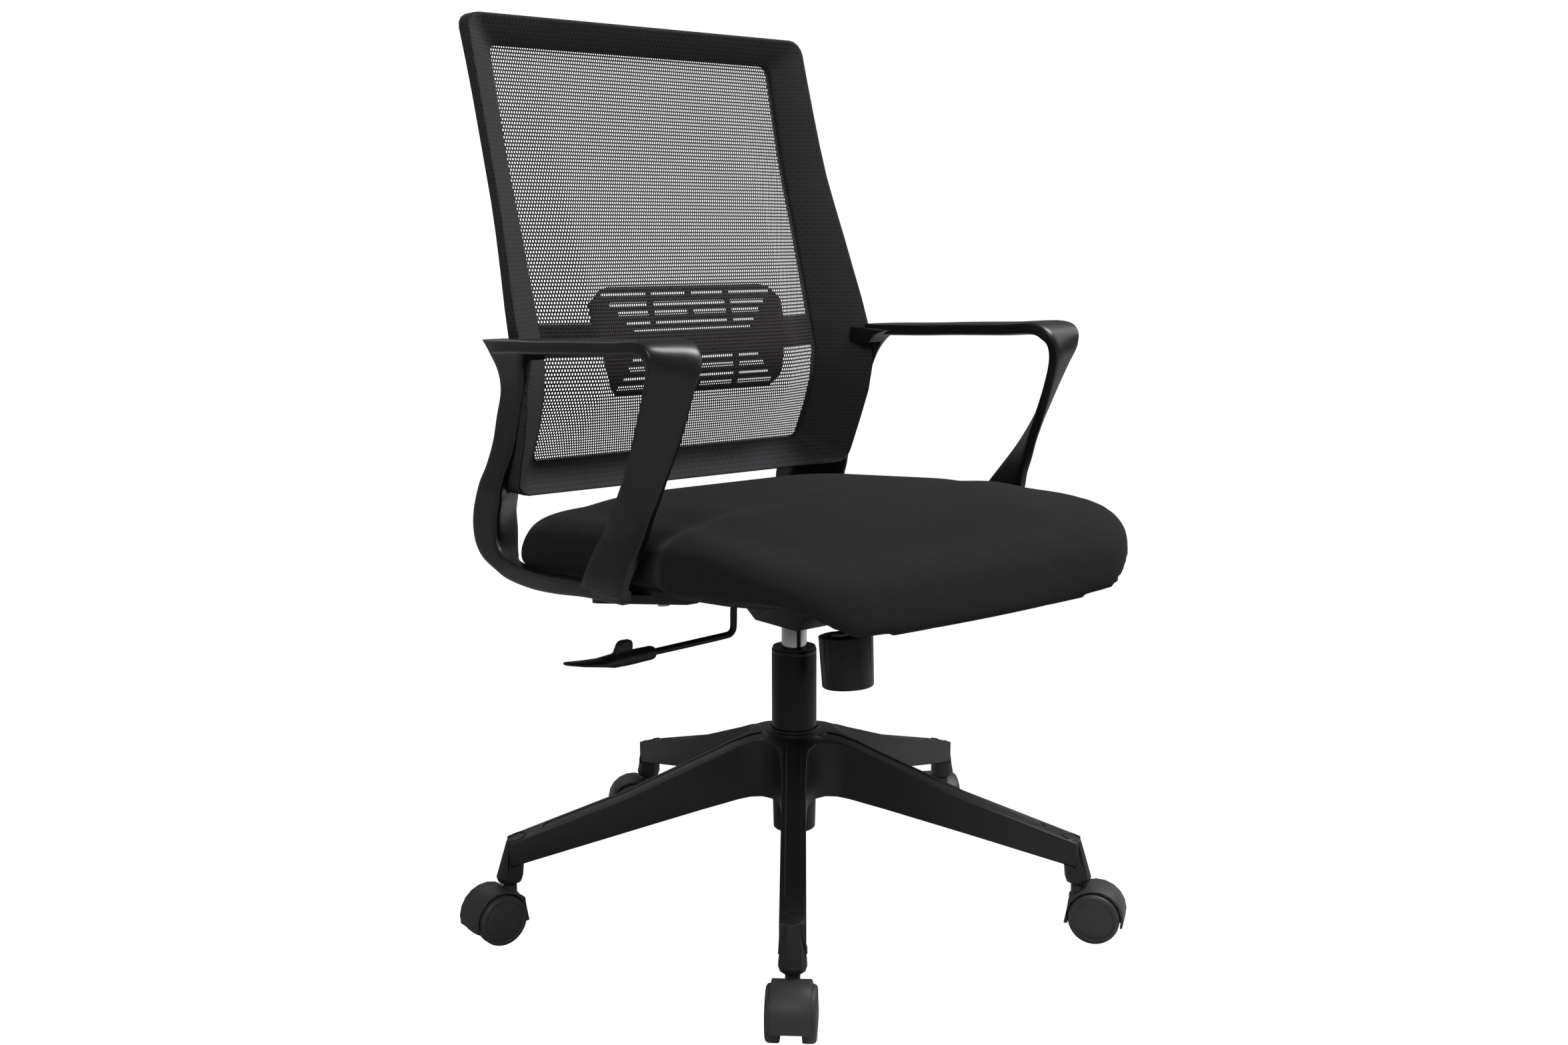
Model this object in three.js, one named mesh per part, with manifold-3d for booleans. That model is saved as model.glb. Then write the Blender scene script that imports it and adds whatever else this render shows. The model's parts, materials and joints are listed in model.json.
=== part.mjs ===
// Swivel office chair with a mesh back, loop arms, a tilt mechanism and a five-legged base on twin-wheel casters.
// Millimetres, +Z up. The origin is on the floor, on the axis of the gas lift. The sitter faces -Y.
import * as THREE from "three";
import { mergeVertices } from "three/addons/utils/BufferGeometryUtils.js";
import Module from "manifold-3d";

const wasm = await Module();
wasm.setup();

// Clearances and facets
const gap = 0.3; // between pieces that touch
const runningGap = 0.5; // between pieces that turn or slide
const overrun = 6; // how far a cutting tool passes the face it opens
const mergeTolerance = 1e-4;
const fineSides = 24;
const roundSides = 16;
const smallSides = 10;

// Star base
const legCount = 5;
const firstLegDegrees = 230.7; // direction of the first leg from +X
const legReach = 322; // from the lift's axis to a caster stem
const legHalfWidth = 13;
const legRootHalfWidth = 14.5;
const legTaperEnd = 112; // reach at which a leg is down to its narrow width
const hubWaist = 50; // reach of the hub between two legs
const hubTop = 199;
const legTopAtTip = 107.5;
const hubBottom = 135;
const legBottomAtTip = 77;
const hubShelfReach = 46; // the flat underside of the hub
const collarRadius = 31.5;
const collarHeight = 3.4;
const collarStepRadius = 28.6;
const collarStepHeight = 3;
const channelHalfWidth = 8.2;
const channelDepth = 1.2;
const channelEnd = 285;
const channelStart = 36;
const pocketWall = 2.8;
const pocketRoof = 4.2;
const pocketStart = 58;
const pocketEnd = 300;
const pocketCount = 5;
const ribThickness = 2.5;
const socketTopRadius = 10.5;
const socketRadius = 14.6;
const socketSetBack = 8; // how far the top of a socket lies inside of its foot
const socketShoulder = 67;
const socketBottom = 61;
const socketChamfer = 2;

// Gas lift
const columnRadius = 25;
const columnTop = 295;
const columnTaperTop = 150;
const columnTaperRadius = 23.5;
const columnWall = 2.3;
const cupRadius = 20;
const cupBottom = 87;
const cupFloor = 3;
const bushLength = 55;
const bushFlange = 1.7;
const bushFlangeSetBack = 1; // how far the flange stays inside the tube's edge
const bearingRadius = 12;
const bearingThickness = 6.5;
const rodRadius = 5;
const rodNeckRadius = 4;
const rodGrooveRadius = 3.1;
const rodTail = 5; // how far the rod stands out under the cup
const rodTop = 330;
const rodHeadRadius = 9.4;
const rodHeadLength = 9;
const clipRadius = 9.5;
const clipThickness = 1.6;
const cylinderRadius = 14;
const cylinderTipRadius = 13.4;
const cylinderBottom = 150;
const cylinderTop = 364;
const cylinderBore = 10;
const cylinderGuide = 8; // thickness of the end ring that the rod runs in
const cylinderRoof = 12;
const buttonRadius = 3.6;
const buttonProud = 4;
const buttonFlangeRadius = 7;
const buttonFlange = 2;

// Tilt mechanism
const pivotForward = 40; // the pivot lies ahead of the lift's axis
const pivotHeight = 358;
const seatSlopeDegrees = 4.5; // the seat rises to the front at rest
const pivotPinRadius = 5;
const pivotPinHeadRadius = 7.5;
const pivotPinHead = 3;
const trayHalfWidth = 38;
const trayWall = 3;
const trayRear = 42;
const trayRearRise = 13; // the tray's underside rises to its rear end
const trayRearRamp = 20;
const trayFront = 120;
const trayTop = 367;
const trayBottom = 328;
const trayFrontBottom = 347;
const trayRampRear = 50;
const trayRampFront = 64;
const trayBossWall = 5.6;
const springBossWall = 5;
const springBossBore = 9;
const springBossHeight = 4;
const springBossLead = 2.5; // the hole lies ahead of the bolt, which swings forward
const plateHalfWidth = 95;
const plateHalfLength = 100;
const plateThickness = 3;
const plateHeight = 33.7; // underside of the seat plate over the pivot
const plateWindowHalfWidth = 30;
const plateWindowFront = 15;
const plateWindowRear = 75;
const flangeLugRadius = 10;
const flangeFront = 72;
const flangeRear = 28;
const flangeFrontDepth = 14;
const bridgeHeight = 20;
const bridgeHalfLength = 12;
const boltRadius = 4;
const boltForward = 45;
const boltHeadRadius = 9;
const boltHead = 5;
const boltFoot = 89;
const springTopDrop = 16.5; // top of the spring under the pivot, along the bolt
const springRadius = 15.5;
const springWire = 2.5;
const springTurns = 6;
const springStepsPerTurn = 8;
const springWireSides = 5;
const knobRimRadius = 29.5;
const knobFootRadius = 28;
const knobTop = 36; // below the pivot, in the seat's frame
const knobFoot = 92;
const knobWall = 3.6;
const knobFloor = 4;
const knobHubRadius = 9;
const knobHubHeight = 14;
const knobChamfer = 1.5;
const knobFluteCount = 10;
const knobFluteRadius = 5;
const knobFluteDepth = 1.3;
const knobFluteBottom = 84;

// Release lever
const camPivotOut = 47; // distance of the lever's pivot from the lift's axis
const camPivotHeight = 360;
const camHalfWidth = 8.7;
const camOuter = 7.4;
const camInner = 5.6;
const camDrop = 7.5;
const camTrunnionRadius = 3;
const camArmHalfWidth = 5;
const camArmReach = 5;
const camArmThickness = 3.2;
const earThickness = 3;
const earOut = 54;
const earFoot = 346;
const leverRadius = 4;
const leverInnerEnd = 28;
const leverDropOut = 84;
const leverRunHeight = 323;
const leverTip = 232;
const leverTipHeight = 318.5;
const leverBend = 9;
const paddleInner = 188;
const paddleTip = 296;
const paddleTipRise = 6;
const paddleGripRadius = 8;
const paddleHalfWidth = 12;
const paddleTabThickness = 9;
const paddleTabHeight = 19;
const paddleTabLength = 24;
const paddleTabShare = 0.28; // where the tab starts, along the paddle

// Seat
const panHalfWidth = 232;
const panFront = 243;
const panRear = 245;
const panHeight = 37; // underside of the pan over the pivot, in the seat's frame
const panThickness = 8;
const panFrontRadius = 60;
const panRearRadius = 92;
const seatHalfWidth = 249;
const seatFlare = 15; // how much wider the seat is on each side ahead of the arms
const seatFlareStart = 40;
const seatFlareLength = 60;
const seatFront = 269;
const seatRear = 268;
const seatFrontRadius = 75;
const seatRearRadius = 98;
const seatFrontBow = -2;
const seatEdgeHeight = 40;
const seatCrestHeight = 103;
const seatCrown = 20;
const seatDrawIn = 29; // how far the lower edge is drawn in under the sides
const seatLipDrop = 51; // fall of the waterfall front at its middle
const seatLipCornerDrop = 41;
const seatLipLength = 200;
const seatLipLate = 10; // power of the fall along the lower edge, against 2 on top

// Back: places are from the pivot, in an upright frame
const backBottom = 107;
const backTop = 630;
const backWindowBottom = 138;
const backWindowTop = 598;
const backHalfWidest = 248;
const windowBottomHalfWidth = 193;
const windowTopHalfWidth = 197;
const backOuterRadius = 17;
const backWindowRadius = 9;
const backNearest = 185; // the most forward reach of the back's outer edge
const backRearward = 128; // how far its top lies behind that
const sweepTop = 28; // how far the window's edge lies behind the outer edge
const sweepBottom = 56;
const frameDepth = 38;
const frameInnerDepth = 12;
const frameChamfer = 3;
const clothThickness = 1.6;
const clothSetBack = 3.6;
const clothColumns = 7;
const clothRows = 10;
const clothStrandShare = 0.26;
const lumbarThickness = 3.4;
const lumbarPush = 25; // how far the plate pushes the net forward
const lumbarTop = 332;
const lumbarShoulder = 314;
const lumbarBarTop = 292;
const lumbarBarBottom = 256;
const lumbarBottom = 210;
const lumbarTopHalfWidth = 107;
const lumbarShoulderHalfWidth = 136;
const lumbarFootHalfWidth = 121;
const lumbarCorner = 12;
const slotRows = 4;
const slotHeight = 4.6;
const slotPitch = 10.5;
const slotMargin = 9;
const slotTopHalfWidth = 120;
const slotTopStep = 9.6; // each lower row of the upper group is shorter by this at each end
const slotFootHalfWidth = 111;
const slotFootStep = 7;
const slotBridge = 7;
const slotBridgeOut = 55;
const slitHeight = 1.8; // a thin slit under the upper group
const slitHalfWidth = 84;

// Arms: places are from the pivot, in an upright frame
const armReach = 264; // from the chair's middle to the middle of the front band
const armForward = 110; // the front band's top ahead of the pivot
const armHeight = 285; // the middle of the rest over the pivot
const restWidth = 66;
const restThickness = 15;
const uprightRear = 300; // rearmost reach of the upright
const armFlangeInner = 200;
const armFlangeOuter = 262;
const armFlangeFront = 60;
const armFlangeFrontOuter = 214; // the flange narrows to its front end
const armFlangeTaperStart = 30;
const armFlangeRear = 37;
const armFlangeThickness = 9;
const armSections = 12; // points round a section
const uprightSweep = 38 / 264; // greatest share by which the upright's inner face lies behind its outer face
const uprightTaper = 0.33; // and the share by which the outer face is then the wider

// Fasteners
const screwRadius = 3;
const screwHeadRadius = 6;
const screwHead = 3.6;
const armSeatScrewLength = 16.5;
const armSeatScrewOut = 215;
const armSeatScrewSpread = 21;
const armBackScrewLength = 27;
const armBackScrewOut = 229;
const armBackScrewHeights = [152, 186];
const armBackScrewPitchDegrees = 32; // the upright leans, and its screws stand square to it
const screwRecess = 4;
const plateBoltOut = 80;
const plateBoltSpread = 86;
const plateBoltLength = 9;

// Casters
const casterTrail = 20;
const wheelRadius = 27.4;
const wheelInner = 11; // inner edge of a tread from the caster's middle
const wheelOuter = 24.2;
const wheelDome = 1.4;
const wheelEdge = 2.2;
const wheelRim = 3;
const wheelWeb = 4.2;
const wheelHubRadius = 7;
const wheelHubInner = 3.9;
const axleRadius = 3;
const axleHalfLength = 20;
const hoodInnerRadius = 28.9;
const hoodOuterRadius = 31.4;
const hoodHalfWidth = 19.2;
const hoodWebHalfWidth = 3.2;
const hoodTipDrop = 8;
const hoodFlare = 3;
const hoodFrontOut = 29;
const neckRadius = 7.4;
const neckRise = 31.2; // top of the neck over the axle
const neckBossRadius = 9.2;
const neckBossDrop = 12;
const stemRadius = 5.2;
const stemInHood = 18;
const stemInBase = 32;
const casterTurnDegrees = [227.7, 304.7, 60, 150, 179.7]; // where each caster trails at rest

// Materials
const finish = (color, roughness, metalness) => new THREE.MeshStandardMaterial({ color, roughness, metalness });
const nylon = finish(0x191a1b, 0.5, 0);
const softNylon = finish(0x1d1e20, 0.6, 0);
const wheelPlastic = finish(0x2c2d2f, 0.62, 0);
const fabric = finish(0x0e0e10, 0.95, 0);
const netCloth = finish(0x232325, 0.9, 0);
const blackSteel = finish(0x141415, 0.42, 0.7);
const plainSteel = finish(0x8f9194, 0.35, 0.9);
const chrome = finish(0xd2d4d6, 0.12, 1);
const plywood = finish(0x8a6d4a, 0.75, 0);

const { PI, sin, cos, abs, sign, min, max } = Math;
const radians = THREE.MathUtils.degToRad;
const vector = (x, y, z) => new THREE.Vector3(x, y, z);
const pivot = vector(0, -pivotForward, pivotHeight);
const seatSlope = radians(seatSlopeDegrees);

// Makes a closed solid of a geometry, with its faces pointing out
function solidOf(shape) {
  if (!shape.isBufferGeometry) return shape;
  const loose = shape.index ? shape.toNonIndexed() : shape;
  const bare = new THREE.BufferGeometry().setAttribute("position", loose.getAttribute("position"));
  const merged = mergeVertices(bare, mergeTolerance);
  const corners = merged.index.array;
  const kept = [];
  for (let i = 0; i < corners.length; i += 3) {
    const [a, b, c] = [corners[i], corners[i + 1], corners[i + 2]];
    if (a !== b && b !== c && a !== c) kept.push([a, b, c]);
  }
  const make = (faces) =>
    new wasm.Manifold(
      new wasm.Mesh({
        numProp: 3,
        vertProperties: merged.attributes.position.array,
        triVerts: new Uint32Array(faces.flat()),
      }),
    );
  const made = make(kept);
  return made.volume() < 0 ? make(kept.map(([a, b, c]) => [a, c, b])) : made;
}

function geometryOf(solid) {
  const mesh = solid.getMesh();
  const geometry = new THREE.BufferGeometry();
  geometry.setAttribute("position", new THREE.BufferAttribute(new Float32Array(mesh.vertProperties), 3));
  geometry.setIndex(new THREE.BufferAttribute(new Uint32Array(mesh.triVerts), 1));
  geometry.computeVertexNormals();
  return geometry;
}

const join = (...shapes) => shapes.map(solidOf).reduce((a, b) => a.add(b));
const cut = (body, ...tools) => tools.map(solidOf).reduce((a, b) => a.subtract(b), solidOf(body));
const common = (...shapes) => shapes.map(solidOf).reduce((a, b) => a.intersect(b));

function piece(name, shape, material, group) {
  const mesh = new THREE.Mesh(geometryOf(solidOf(shape)), material);
  mesh.name = name;
  group.add(mesh);
  return mesh;
}

// A cylinder or cone along Z
function rod(radius, from, to, sides = roundSides, topRadius = radius) {
  const shape = new THREE.CylinderGeometry(topRadius, radius, to - from, sides);
  return shape.rotateX(PI / 2).translate(0, 0, (from + to) / 2);
}

// A closed profile of [radius, height] turned about Z
function turned(profile, sides = roundSides) {
  const points = profile.map(([r, z]) => new THREE.Vector2(r, z));
  return new THREE.LatheGeometry(points, sides).rotateX(PI / 2);
}

function block(x0, x1, y0, y1, z0, z1) {
  const shape = new THREE.BoxGeometry(x1 - x0, y1 - y0, z1 - z0);
  return shape.translate((x0 + x1) / 2, (y0 + y1) / 2, (z0 + z1) / 2);
}

const flat = { steps: 1, bevelEnabled: false, curveSegments: 4 };
const outline = (points) => new THREE.Shape(points.map(([u, v]) => new THREE.Vector2(u, v)));

function prism(shape, from, to) {
  return new THREE.ExtrudeGeometry(shape, { ...flat, depth: to - from }).translate(0, 0, from);
}

// A side profile in Y and Z, drawn out along X
function acrossX(shape, from, to) {
  const turn = new THREE.Matrix4().makeBasis(vector(0, 1, 0), vector(0, 0, 1), vector(1, 0, 0));
  return prism(shape, from, to).applyMatrix4(turn);
}

// A front profile in X and Z, drawn out along Y
function acrossY(shape, from, to) {
  const turn = new THREE.Matrix4().makeBasis(vector(1, 0, 0), vector(0, 0, 1), vector(0, 1, 0));
  return prism(shape, from, to).applyMatrix4(turn);
}

// A solid through rings of points: capped at both ends, or closed on itself
function loft(rings, closed = false) {
  const points = [];
  const face = (...corners) => corners.forEach((p) => points.push(p.x, p.y, p.z));
  const count = rings[0].length;
  const spans = closed ? rings.length : rings.length - 1;
  for (let i = 0; i < spans; i++) {
    const here = rings[i];
    const next = rings[(i + 1) % rings.length];
    for (let j = 0; j < count; j++) {
      const k = (j + 1) % count;
      face(here[j], here[k], next[k]);
      face(here[j], next[k], next[j]);
    }
  }
  const cap = (ring, turnedRound) => {
    const middle = ring.reduce((sum, p) => sum.add(p), vector(0, 0, 0)).divideScalar(count);
    for (let j = 0; j < count; j++) {
      const k = (j + 1) % count;
      if (turnedRound) face(middle, ring[k], ring[j]);
      else face(middle, ring[j], ring[k]);
    }
  };
  if (!closed) {
    cap(rings[0], true);
    cap(rings.at(-1), false);
  }
  const shape = new THREE.BufferGeometry();
  return shape.setAttribute("position", new THREE.Float32BufferAttribute(points, 3));
}

// A section with rounded corners: squareness 1 is an ellipse, smaller is squarer
function section(middle, across, through, halfAcross, halfThrough, count = armSections, squareness = 0.55, wider = 0) {
  const bent = (value) => sign(value) * abs(value) ** squareness;
  return Array.from({ length: count }, (_, i) => {
    const turn = (2 * PI * (i + 1 / 2)) / count;
    return middle
      .clone()
      .addScaledVector(across, halfAcross * bent(cos(turn)) * (1 + wider * bent(sin(turn))))
      .addScaledVector(through, halfThrough * bent(sin(turn)));
  });
}

// A smooth curve through [place, value] rows with rising places
function along(rows, place) {
  const last = rows.length - 1;
  let i = 0;
  while (i < last - 1 && place > rows[i + 1][0]) i++;
  const [p0, v0] = rows[max(i - 1, 0)];
  const [p1, v1] = rows[i];
  const [p2, v2] = rows[i + 1];
  const [p3, v3] = rows[min(i + 2, last)];
  const span = p2 - p1;
  const t = min(max((place - p1) / span, 0), 1);
  const lead = (span * (v2 - v0)) / (p2 - p0);
  const trail = (span * (v3 - v1)) / (p3 - p1);
  const square = t * t;
  const cube = square * t;
  return (
    (2 * cube - 3 * square + 1) * v1 +
    (cube - 2 * square + t) * lead +
    (3 * square - 2 * cube) * v2 +
    (cube - square) * trail
  );
}

const mix = (a, b, share) => a + (b - a) * share;
const spin = (shape, angle) => shape.clone().rotateZ(angle);
const legAngles = Array.from({ length: legCount }, (_, k) => radians(firstLegDegrees) + (2 * PI * k) / legCount);

const rodX = (radius, from, to, sides) => rod(radius, from, to, sides).rotateY(PI / 2);
const rodY = (radius, from, to, sides) => rod(radius, from, to, sides).rotateX(-PI / 2);

// Star base: built with its first leg along +X, then turned

// Height of a leg's upper face, from [share of the reach, share of the fall]
const legTopShares = [
  [0, 1],
  [0.1, 1],
  [0.16, 0.974],
  [0.225, 0.91],
  [0.29, 0.817],
  [0.6, 0.41],
  [1.06, -0.062],
];
const legTop = (reach) => mix(legTopAtTip, hubTop, along(legTopShares, reach / legReach));
const legProfile = legTopShares.map(([share]) => [legReach * share, legTop(legReach * share)]);
const baseFacets = 8 * legCount;
const facing = (shape) => shape.rotateZ(PI / baseFacets); // each leg's middle meets the middle of a facet

// The plan of the star: straight legs joined by round hollows
function starOutline() {
  const halfTurn = PI / legCount;
  const hollow = (hubWaist * sin(halfTurn) - legRootHalfWidth) / (1 - sin(halfTurn));
  const hollowSteps = 5;
  const points = [];
  const add = (reach, side, turn) => {
    points.push([reach * cos(turn) - side * sin(turn), reach * sin(turn) + side * cos(turn)]);
  };
  for (let k = 0; k < legCount; k++) {
    const leg = 2 * halfTurn * k;
    add(legTaperEnd, -legHalfWidth, leg);
    add(legReach, -legHalfWidth, leg);
    add(legReach, legHalfWidth, leg);
    add(legTaperEnd, legHalfWidth, leg);
    for (let i = 0; i <= hollowSteps; i++) {
      const turn = -(PI / 2 + halfTurn) - (i / hollowSteps) * (PI - 2 * halfTurn);
      add(hubWaist + hollow + hollow * cos(turn), hollow * sin(turn), leg + halfTurn);
    }
  }
  return outline(points);
}

// The flared foot of a leg, which holds the caster's stem
function legSocket() {
  const ring = (middle, radius, height) =>
    Array.from({ length: smallSides }, (_, i) => {
      const turn = (2 * PI * i) / smallSides;
      const x = middle + radius * cos(turn);
      return vector(x, radius * sin(turn), height(x));
    });
  return loft([
    ring(legReach - socketSetBack, socketTopRadius, legTop),
    ring(legReach, socketRadius, () => socketShoulder),
    ring(legReach, socketRadius - socketChamfer, () => socketBottom),
  ]);
}

// A shallow channel along the top of a leg, with a round end
function legChannel() {
  const shape = new THREE.Shape();
  shape.moveTo(channelStart, -channelHalfWidth);
  shape.lineTo(channelEnd - channelHalfWidth, -channelHalfWidth);
  shape.absarc(channelEnd - channelHalfWidth, 0, channelHalfWidth, -PI / 2, PI / 2);
  shape.lineTo(channelStart, channelHalfWidth);
  return prism(shape, 0, hubTop + overrun);
}

// Pockets under a leg, parted by cross ribs
function legPockets() {
  const pitch = (pocketEnd - pocketStart + ribThickness) / pocketCount;
  const halfWidth = legHalfWidth - pocketWall;
  const pockets = [];
  for (let i = 0; i < pocketCount; i++) {
    const near = pocketStart + i * pitch;
    const far = near + pitch - ribThickness;
    const side = outline([
      [near, 0],
      [far, 0],
      [far, legTop(far) - pocketRoof],
      [near, legTop(near) - pocketRoof],
    ]);
    pockets.push(acrossY(side, -halfWidth, halfWidth));
  }
  return pockets;
}

function starBase() {
  const shell = turned([[0, hubBottom], [hubShelfReach, hubBottom], [legProfile.at(-1)[0], legBottomAtTip]].concat(
    legProfile.toReversed()), baseFacets);
  const lowered = legProfile.map(([reach, height]) => [reach, height - channelDepth]).slice(1);
  const above = hubTop + overrun;
  const band = turned([...lowered, [lowered.at(-1)[0], above], [lowered[0][0], above], lowered[0]], baseFacets);
  const bore = turned([
    [0, hubBottom - overrun],
    [columnTaperRadius + gap, hubBottom - overrun],
    [columnTaperRadius + gap, hubBottom],
    [columnRadius + gap, columnTaperTop],
    [columnRadius + gap, hubTop + collarHeight + collarStepHeight + overrun],
    [0, hubTop + collarHeight + collarStepHeight + overrun],
  ], fineSides);
  const collar = join(
    rod(collarRadius, hubTop - overrun, hubTop + collarHeight, fineSides),
    rod(collarStepRadius, hubTop, hubTop + collarHeight + collarStepHeight, fineSides),
  );
  const star = common(prism(starOutline(), 0, above), facing(shell));
  const turns = Array.from({ length: legCount }, (_, k) => (2 * PI * k) / legCount);
  const onEachLeg = (shape) => turns.map((turn) => spin(shape, turn));
  const stemBore = rod(stemRadius + gap, socketBottom - overrun, socketBottom + stemInBase + gap, smallSides);
  stemBore.translate(legReach, 0, 0);
  const channels = common(join(...onEachLeg(legChannel())), facing(band));
  const body = join(star, ...onEachLeg(legSocket()));
  const opened = cut(body, channels, ...legPockets().flatMap(onEachLeg), ...onEachLeg(stemBore));
  return cut(join(opened, collar), bore);
}

// Gas lift
function gasColumn() {
  const hole = rodNeckRadius + gap;
  const bore = columnRadius - columnWall;
  const cupBore = cupRadius - columnWall;
  const cupShoulder = hubBottom - cupFloor;
  return turned([
    [hole, cupBottom],
    [cupRadius, cupBottom],
    [cupRadius, cupShoulder],
    [columnTaperRadius, hubBottom],
    [columnRadius, columnTaperTop],
    [columnRadius, columnTop],
    [bore, columnTop],
    [bore, columnTaperTop],
    [cupBore, cupShoulder],
    [cupBore, cupBottom + cupFloor],
    [hole, cupBottom + cupFloor],
    [hole, cupBottom],
  ], fineSides);
}

function columnBush() {
  const inner = cylinderRadius + gap;
  const outer = columnRadius - columnWall - gap;
  const flange = columnRadius - bushFlangeSetBack;
  const seat = columnTop + gap;
  return turned([
    [inner, columnTop - bushLength],
    [outer, columnTop - bushLength],
    [outer, seat],
    [flange, seat],
    [flange, seat + bushFlange],
    [inner, seat + bushFlange],
    [inner, columnTop - bushLength],
  ], fineSides);
}

const bearingFoot = cupBottom + cupFloor + gap;
const rodShoulder = bearingFoot + bearingThickness + gap;

function thrustBearing() {
  const outer = rod(bearingRadius, bearingFoot, bearingFoot + bearingThickness);
  return cut(outer, rod(rodNeckRadius + gap, cupBottom, rodShoulder + overrun, smallSides));
}

function pistonRod() {
  return turned([
    [0, cupBottom - rodTail],
    [rodNeckRadius, cupBottom - rodTail],
    [rodNeckRadius, cupBottom - clipThickness - 2 * gap],
    [rodGrooveRadius, cupBottom - clipThickness - 2 * gap],
    [rodGrooveRadius, cupBottom],
    [rodNeckRadius, cupBottom],
    [rodNeckRadius, rodShoulder],
    [rodRadius, rodShoulder],
    [rodRadius, rodTop - rodHeadLength],
    [rodHeadRadius, rodTop - rodHeadLength],
    [rodHeadRadius, rodTop],
    [0, rodTop],
  ]);
}

// An open ring that is pushed on from the side
function retainingClip() {
  const top = cupBottom - gap;
  const hole = rodGrooveRadius + gap;
  return cut(
    rod(clipRadius, top - clipThickness, top),
    rod(hole, cupBottom - rodTail, top + overrun, smallSides),
    block(0, clipRadius + overrun, -hole, hole, cupBottom - rodTail, top + overrun),
  );
}

const cylinderBevel = cylinderRadius - cylinderTipRadius;

function gasCylinder() {
  const hole = buttonRadius + gap;
  const guide = rodRadius + gap;
  const roof = cylinderTop - cylinderRoof;
  return turned([
    [guide, cylinderBottom],
    [cylinderRadius - cylinderBevel, cylinderBottom],
    [cylinderRadius, cylinderBottom + cylinderBevel],
    [cylinderRadius, trayBottom],
    [cylinderTipRadius, cylinderTop],
    [hole, cylinderTop],
    [hole, roof],
    [cylinderBore, roof],
    [cylinderBore, cylinderBottom + cylinderGuide],
    [guide, cylinderBottom + cylinderGuide],
    [guide, cylinderBottom],
  ], fineSides);
}

const buttonTop = cylinderTop + buttonProud;

function valveButton() {
  const flangeTop = cylinderTop - cylinderRoof - gap;
  return join(
    rod(buttonRadius, flangeTop - buttonFlange, buttonTop, smallSides),
    rod(buttonFlangeRadius, flangeTop - buttonFlange, flangeTop, smallSides),
  );
}

// Tilt mechanism: a pressed steel tray on the cylinder, open at the top
const springBossForward = pivotForward + boltForward + springBossLead;

function mechanismHousing() {
  const side = (inset, top) =>
    outline([
      [trayRear - trayRearRamp, trayBottom + inset],
      [trayRear - inset, trayBottom + trayRearRise + inset],
      [trayRear - inset, top],
      [-trayFront + inset, top],
      [-trayFront + inset, trayFrontBottom + inset],
      [-trayRampFront, trayFrontBottom + inset],
      [-trayRampRear, trayBottom + inset],
    ]);
  const inside = trayHalfWidth - trayWall;
  const tray = cut(
    acrossX(side(0, trayTop), -trayHalfWidth, trayHalfWidth),
    acrossX(side(trayWall, trayTop + overrun), -inside, inside),
  );
  const socket = rod(cylinderRadius + gap + trayBossWall, trayBottom, trayTop - overrun);
  const socketBore = turned([
    [0, trayBottom - overrun],
    [cylinderRadius + gap, trayBottom - overrun],
    [cylinderRadius + gap, trayBottom],
    [cylinderTipRadius + gap, cylinderTop],
    [0, cylinderTop],
  ], fineSides);
  const springBoss = rod(springBossBore + springBossWall, trayFrontBottom, trayFrontBottom + trayWall + springBossHeight);
  const springHole = rod(springBossBore, trayFrontBottom - overrun, trayTop);
  for (const shape of [springBoss, springHole]) shape.translate(0, -springBossForward, 0);
  const earTop = camPivotHeight + camTrunnionRadius + gap + earThickness;
  const earInner = camHalfWidth + gap;
  const ears = [-earInner - earThickness, earInner].map((y) =>
    block(-earOut, -inside, y, y + earThickness, earFoot, earTop),
  );
  const earHole = rodY(camTrunnionRadius + gap, -earInner - earThickness - overrun, earInner + earThickness + overrun, smallSides);
  earHole.translate(-camPivotOut, 0, camPivotHeight);
  const pinHole = rodX(pivotPinRadius + gap, -trayHalfWidth - overrun, trayHalfWidth + overrun);
  pinHole.translate(0, -pivotForward, pivotHeight);
  const notchHalf = leverRadius + 2 * runningGap;
  const notch = block(
    -trayHalfWidth - overrun, -inside + runningGap, -notchHalf, notchHalf,
    camPivotHeight - leverRadius - buttonProud, trayTop + overrun,
  );
  return cut(join(tray, socket, springBoss, ...ears), socketBore, springHole, earHole, pinHole, notch);
}

function pivotPin() {
  const flangeOuter = trayHalfWidth + runningGap + plateThickness;
  const end = flangeOuter + gap + pivotPinHead;
  return join(rodX(pivotPinRadius, -end, end), rodX(pivotPinHeadRadius, flangeOuter + gap, end));
}

// Everything on the seat is built around the pivot, in the seat's own frame
const plateBolts = [-1, 1].flatMap((sx) => [-1, 1].map((sy) => [sx * plateBoltOut, sy * plateBoltSpread]));

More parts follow.
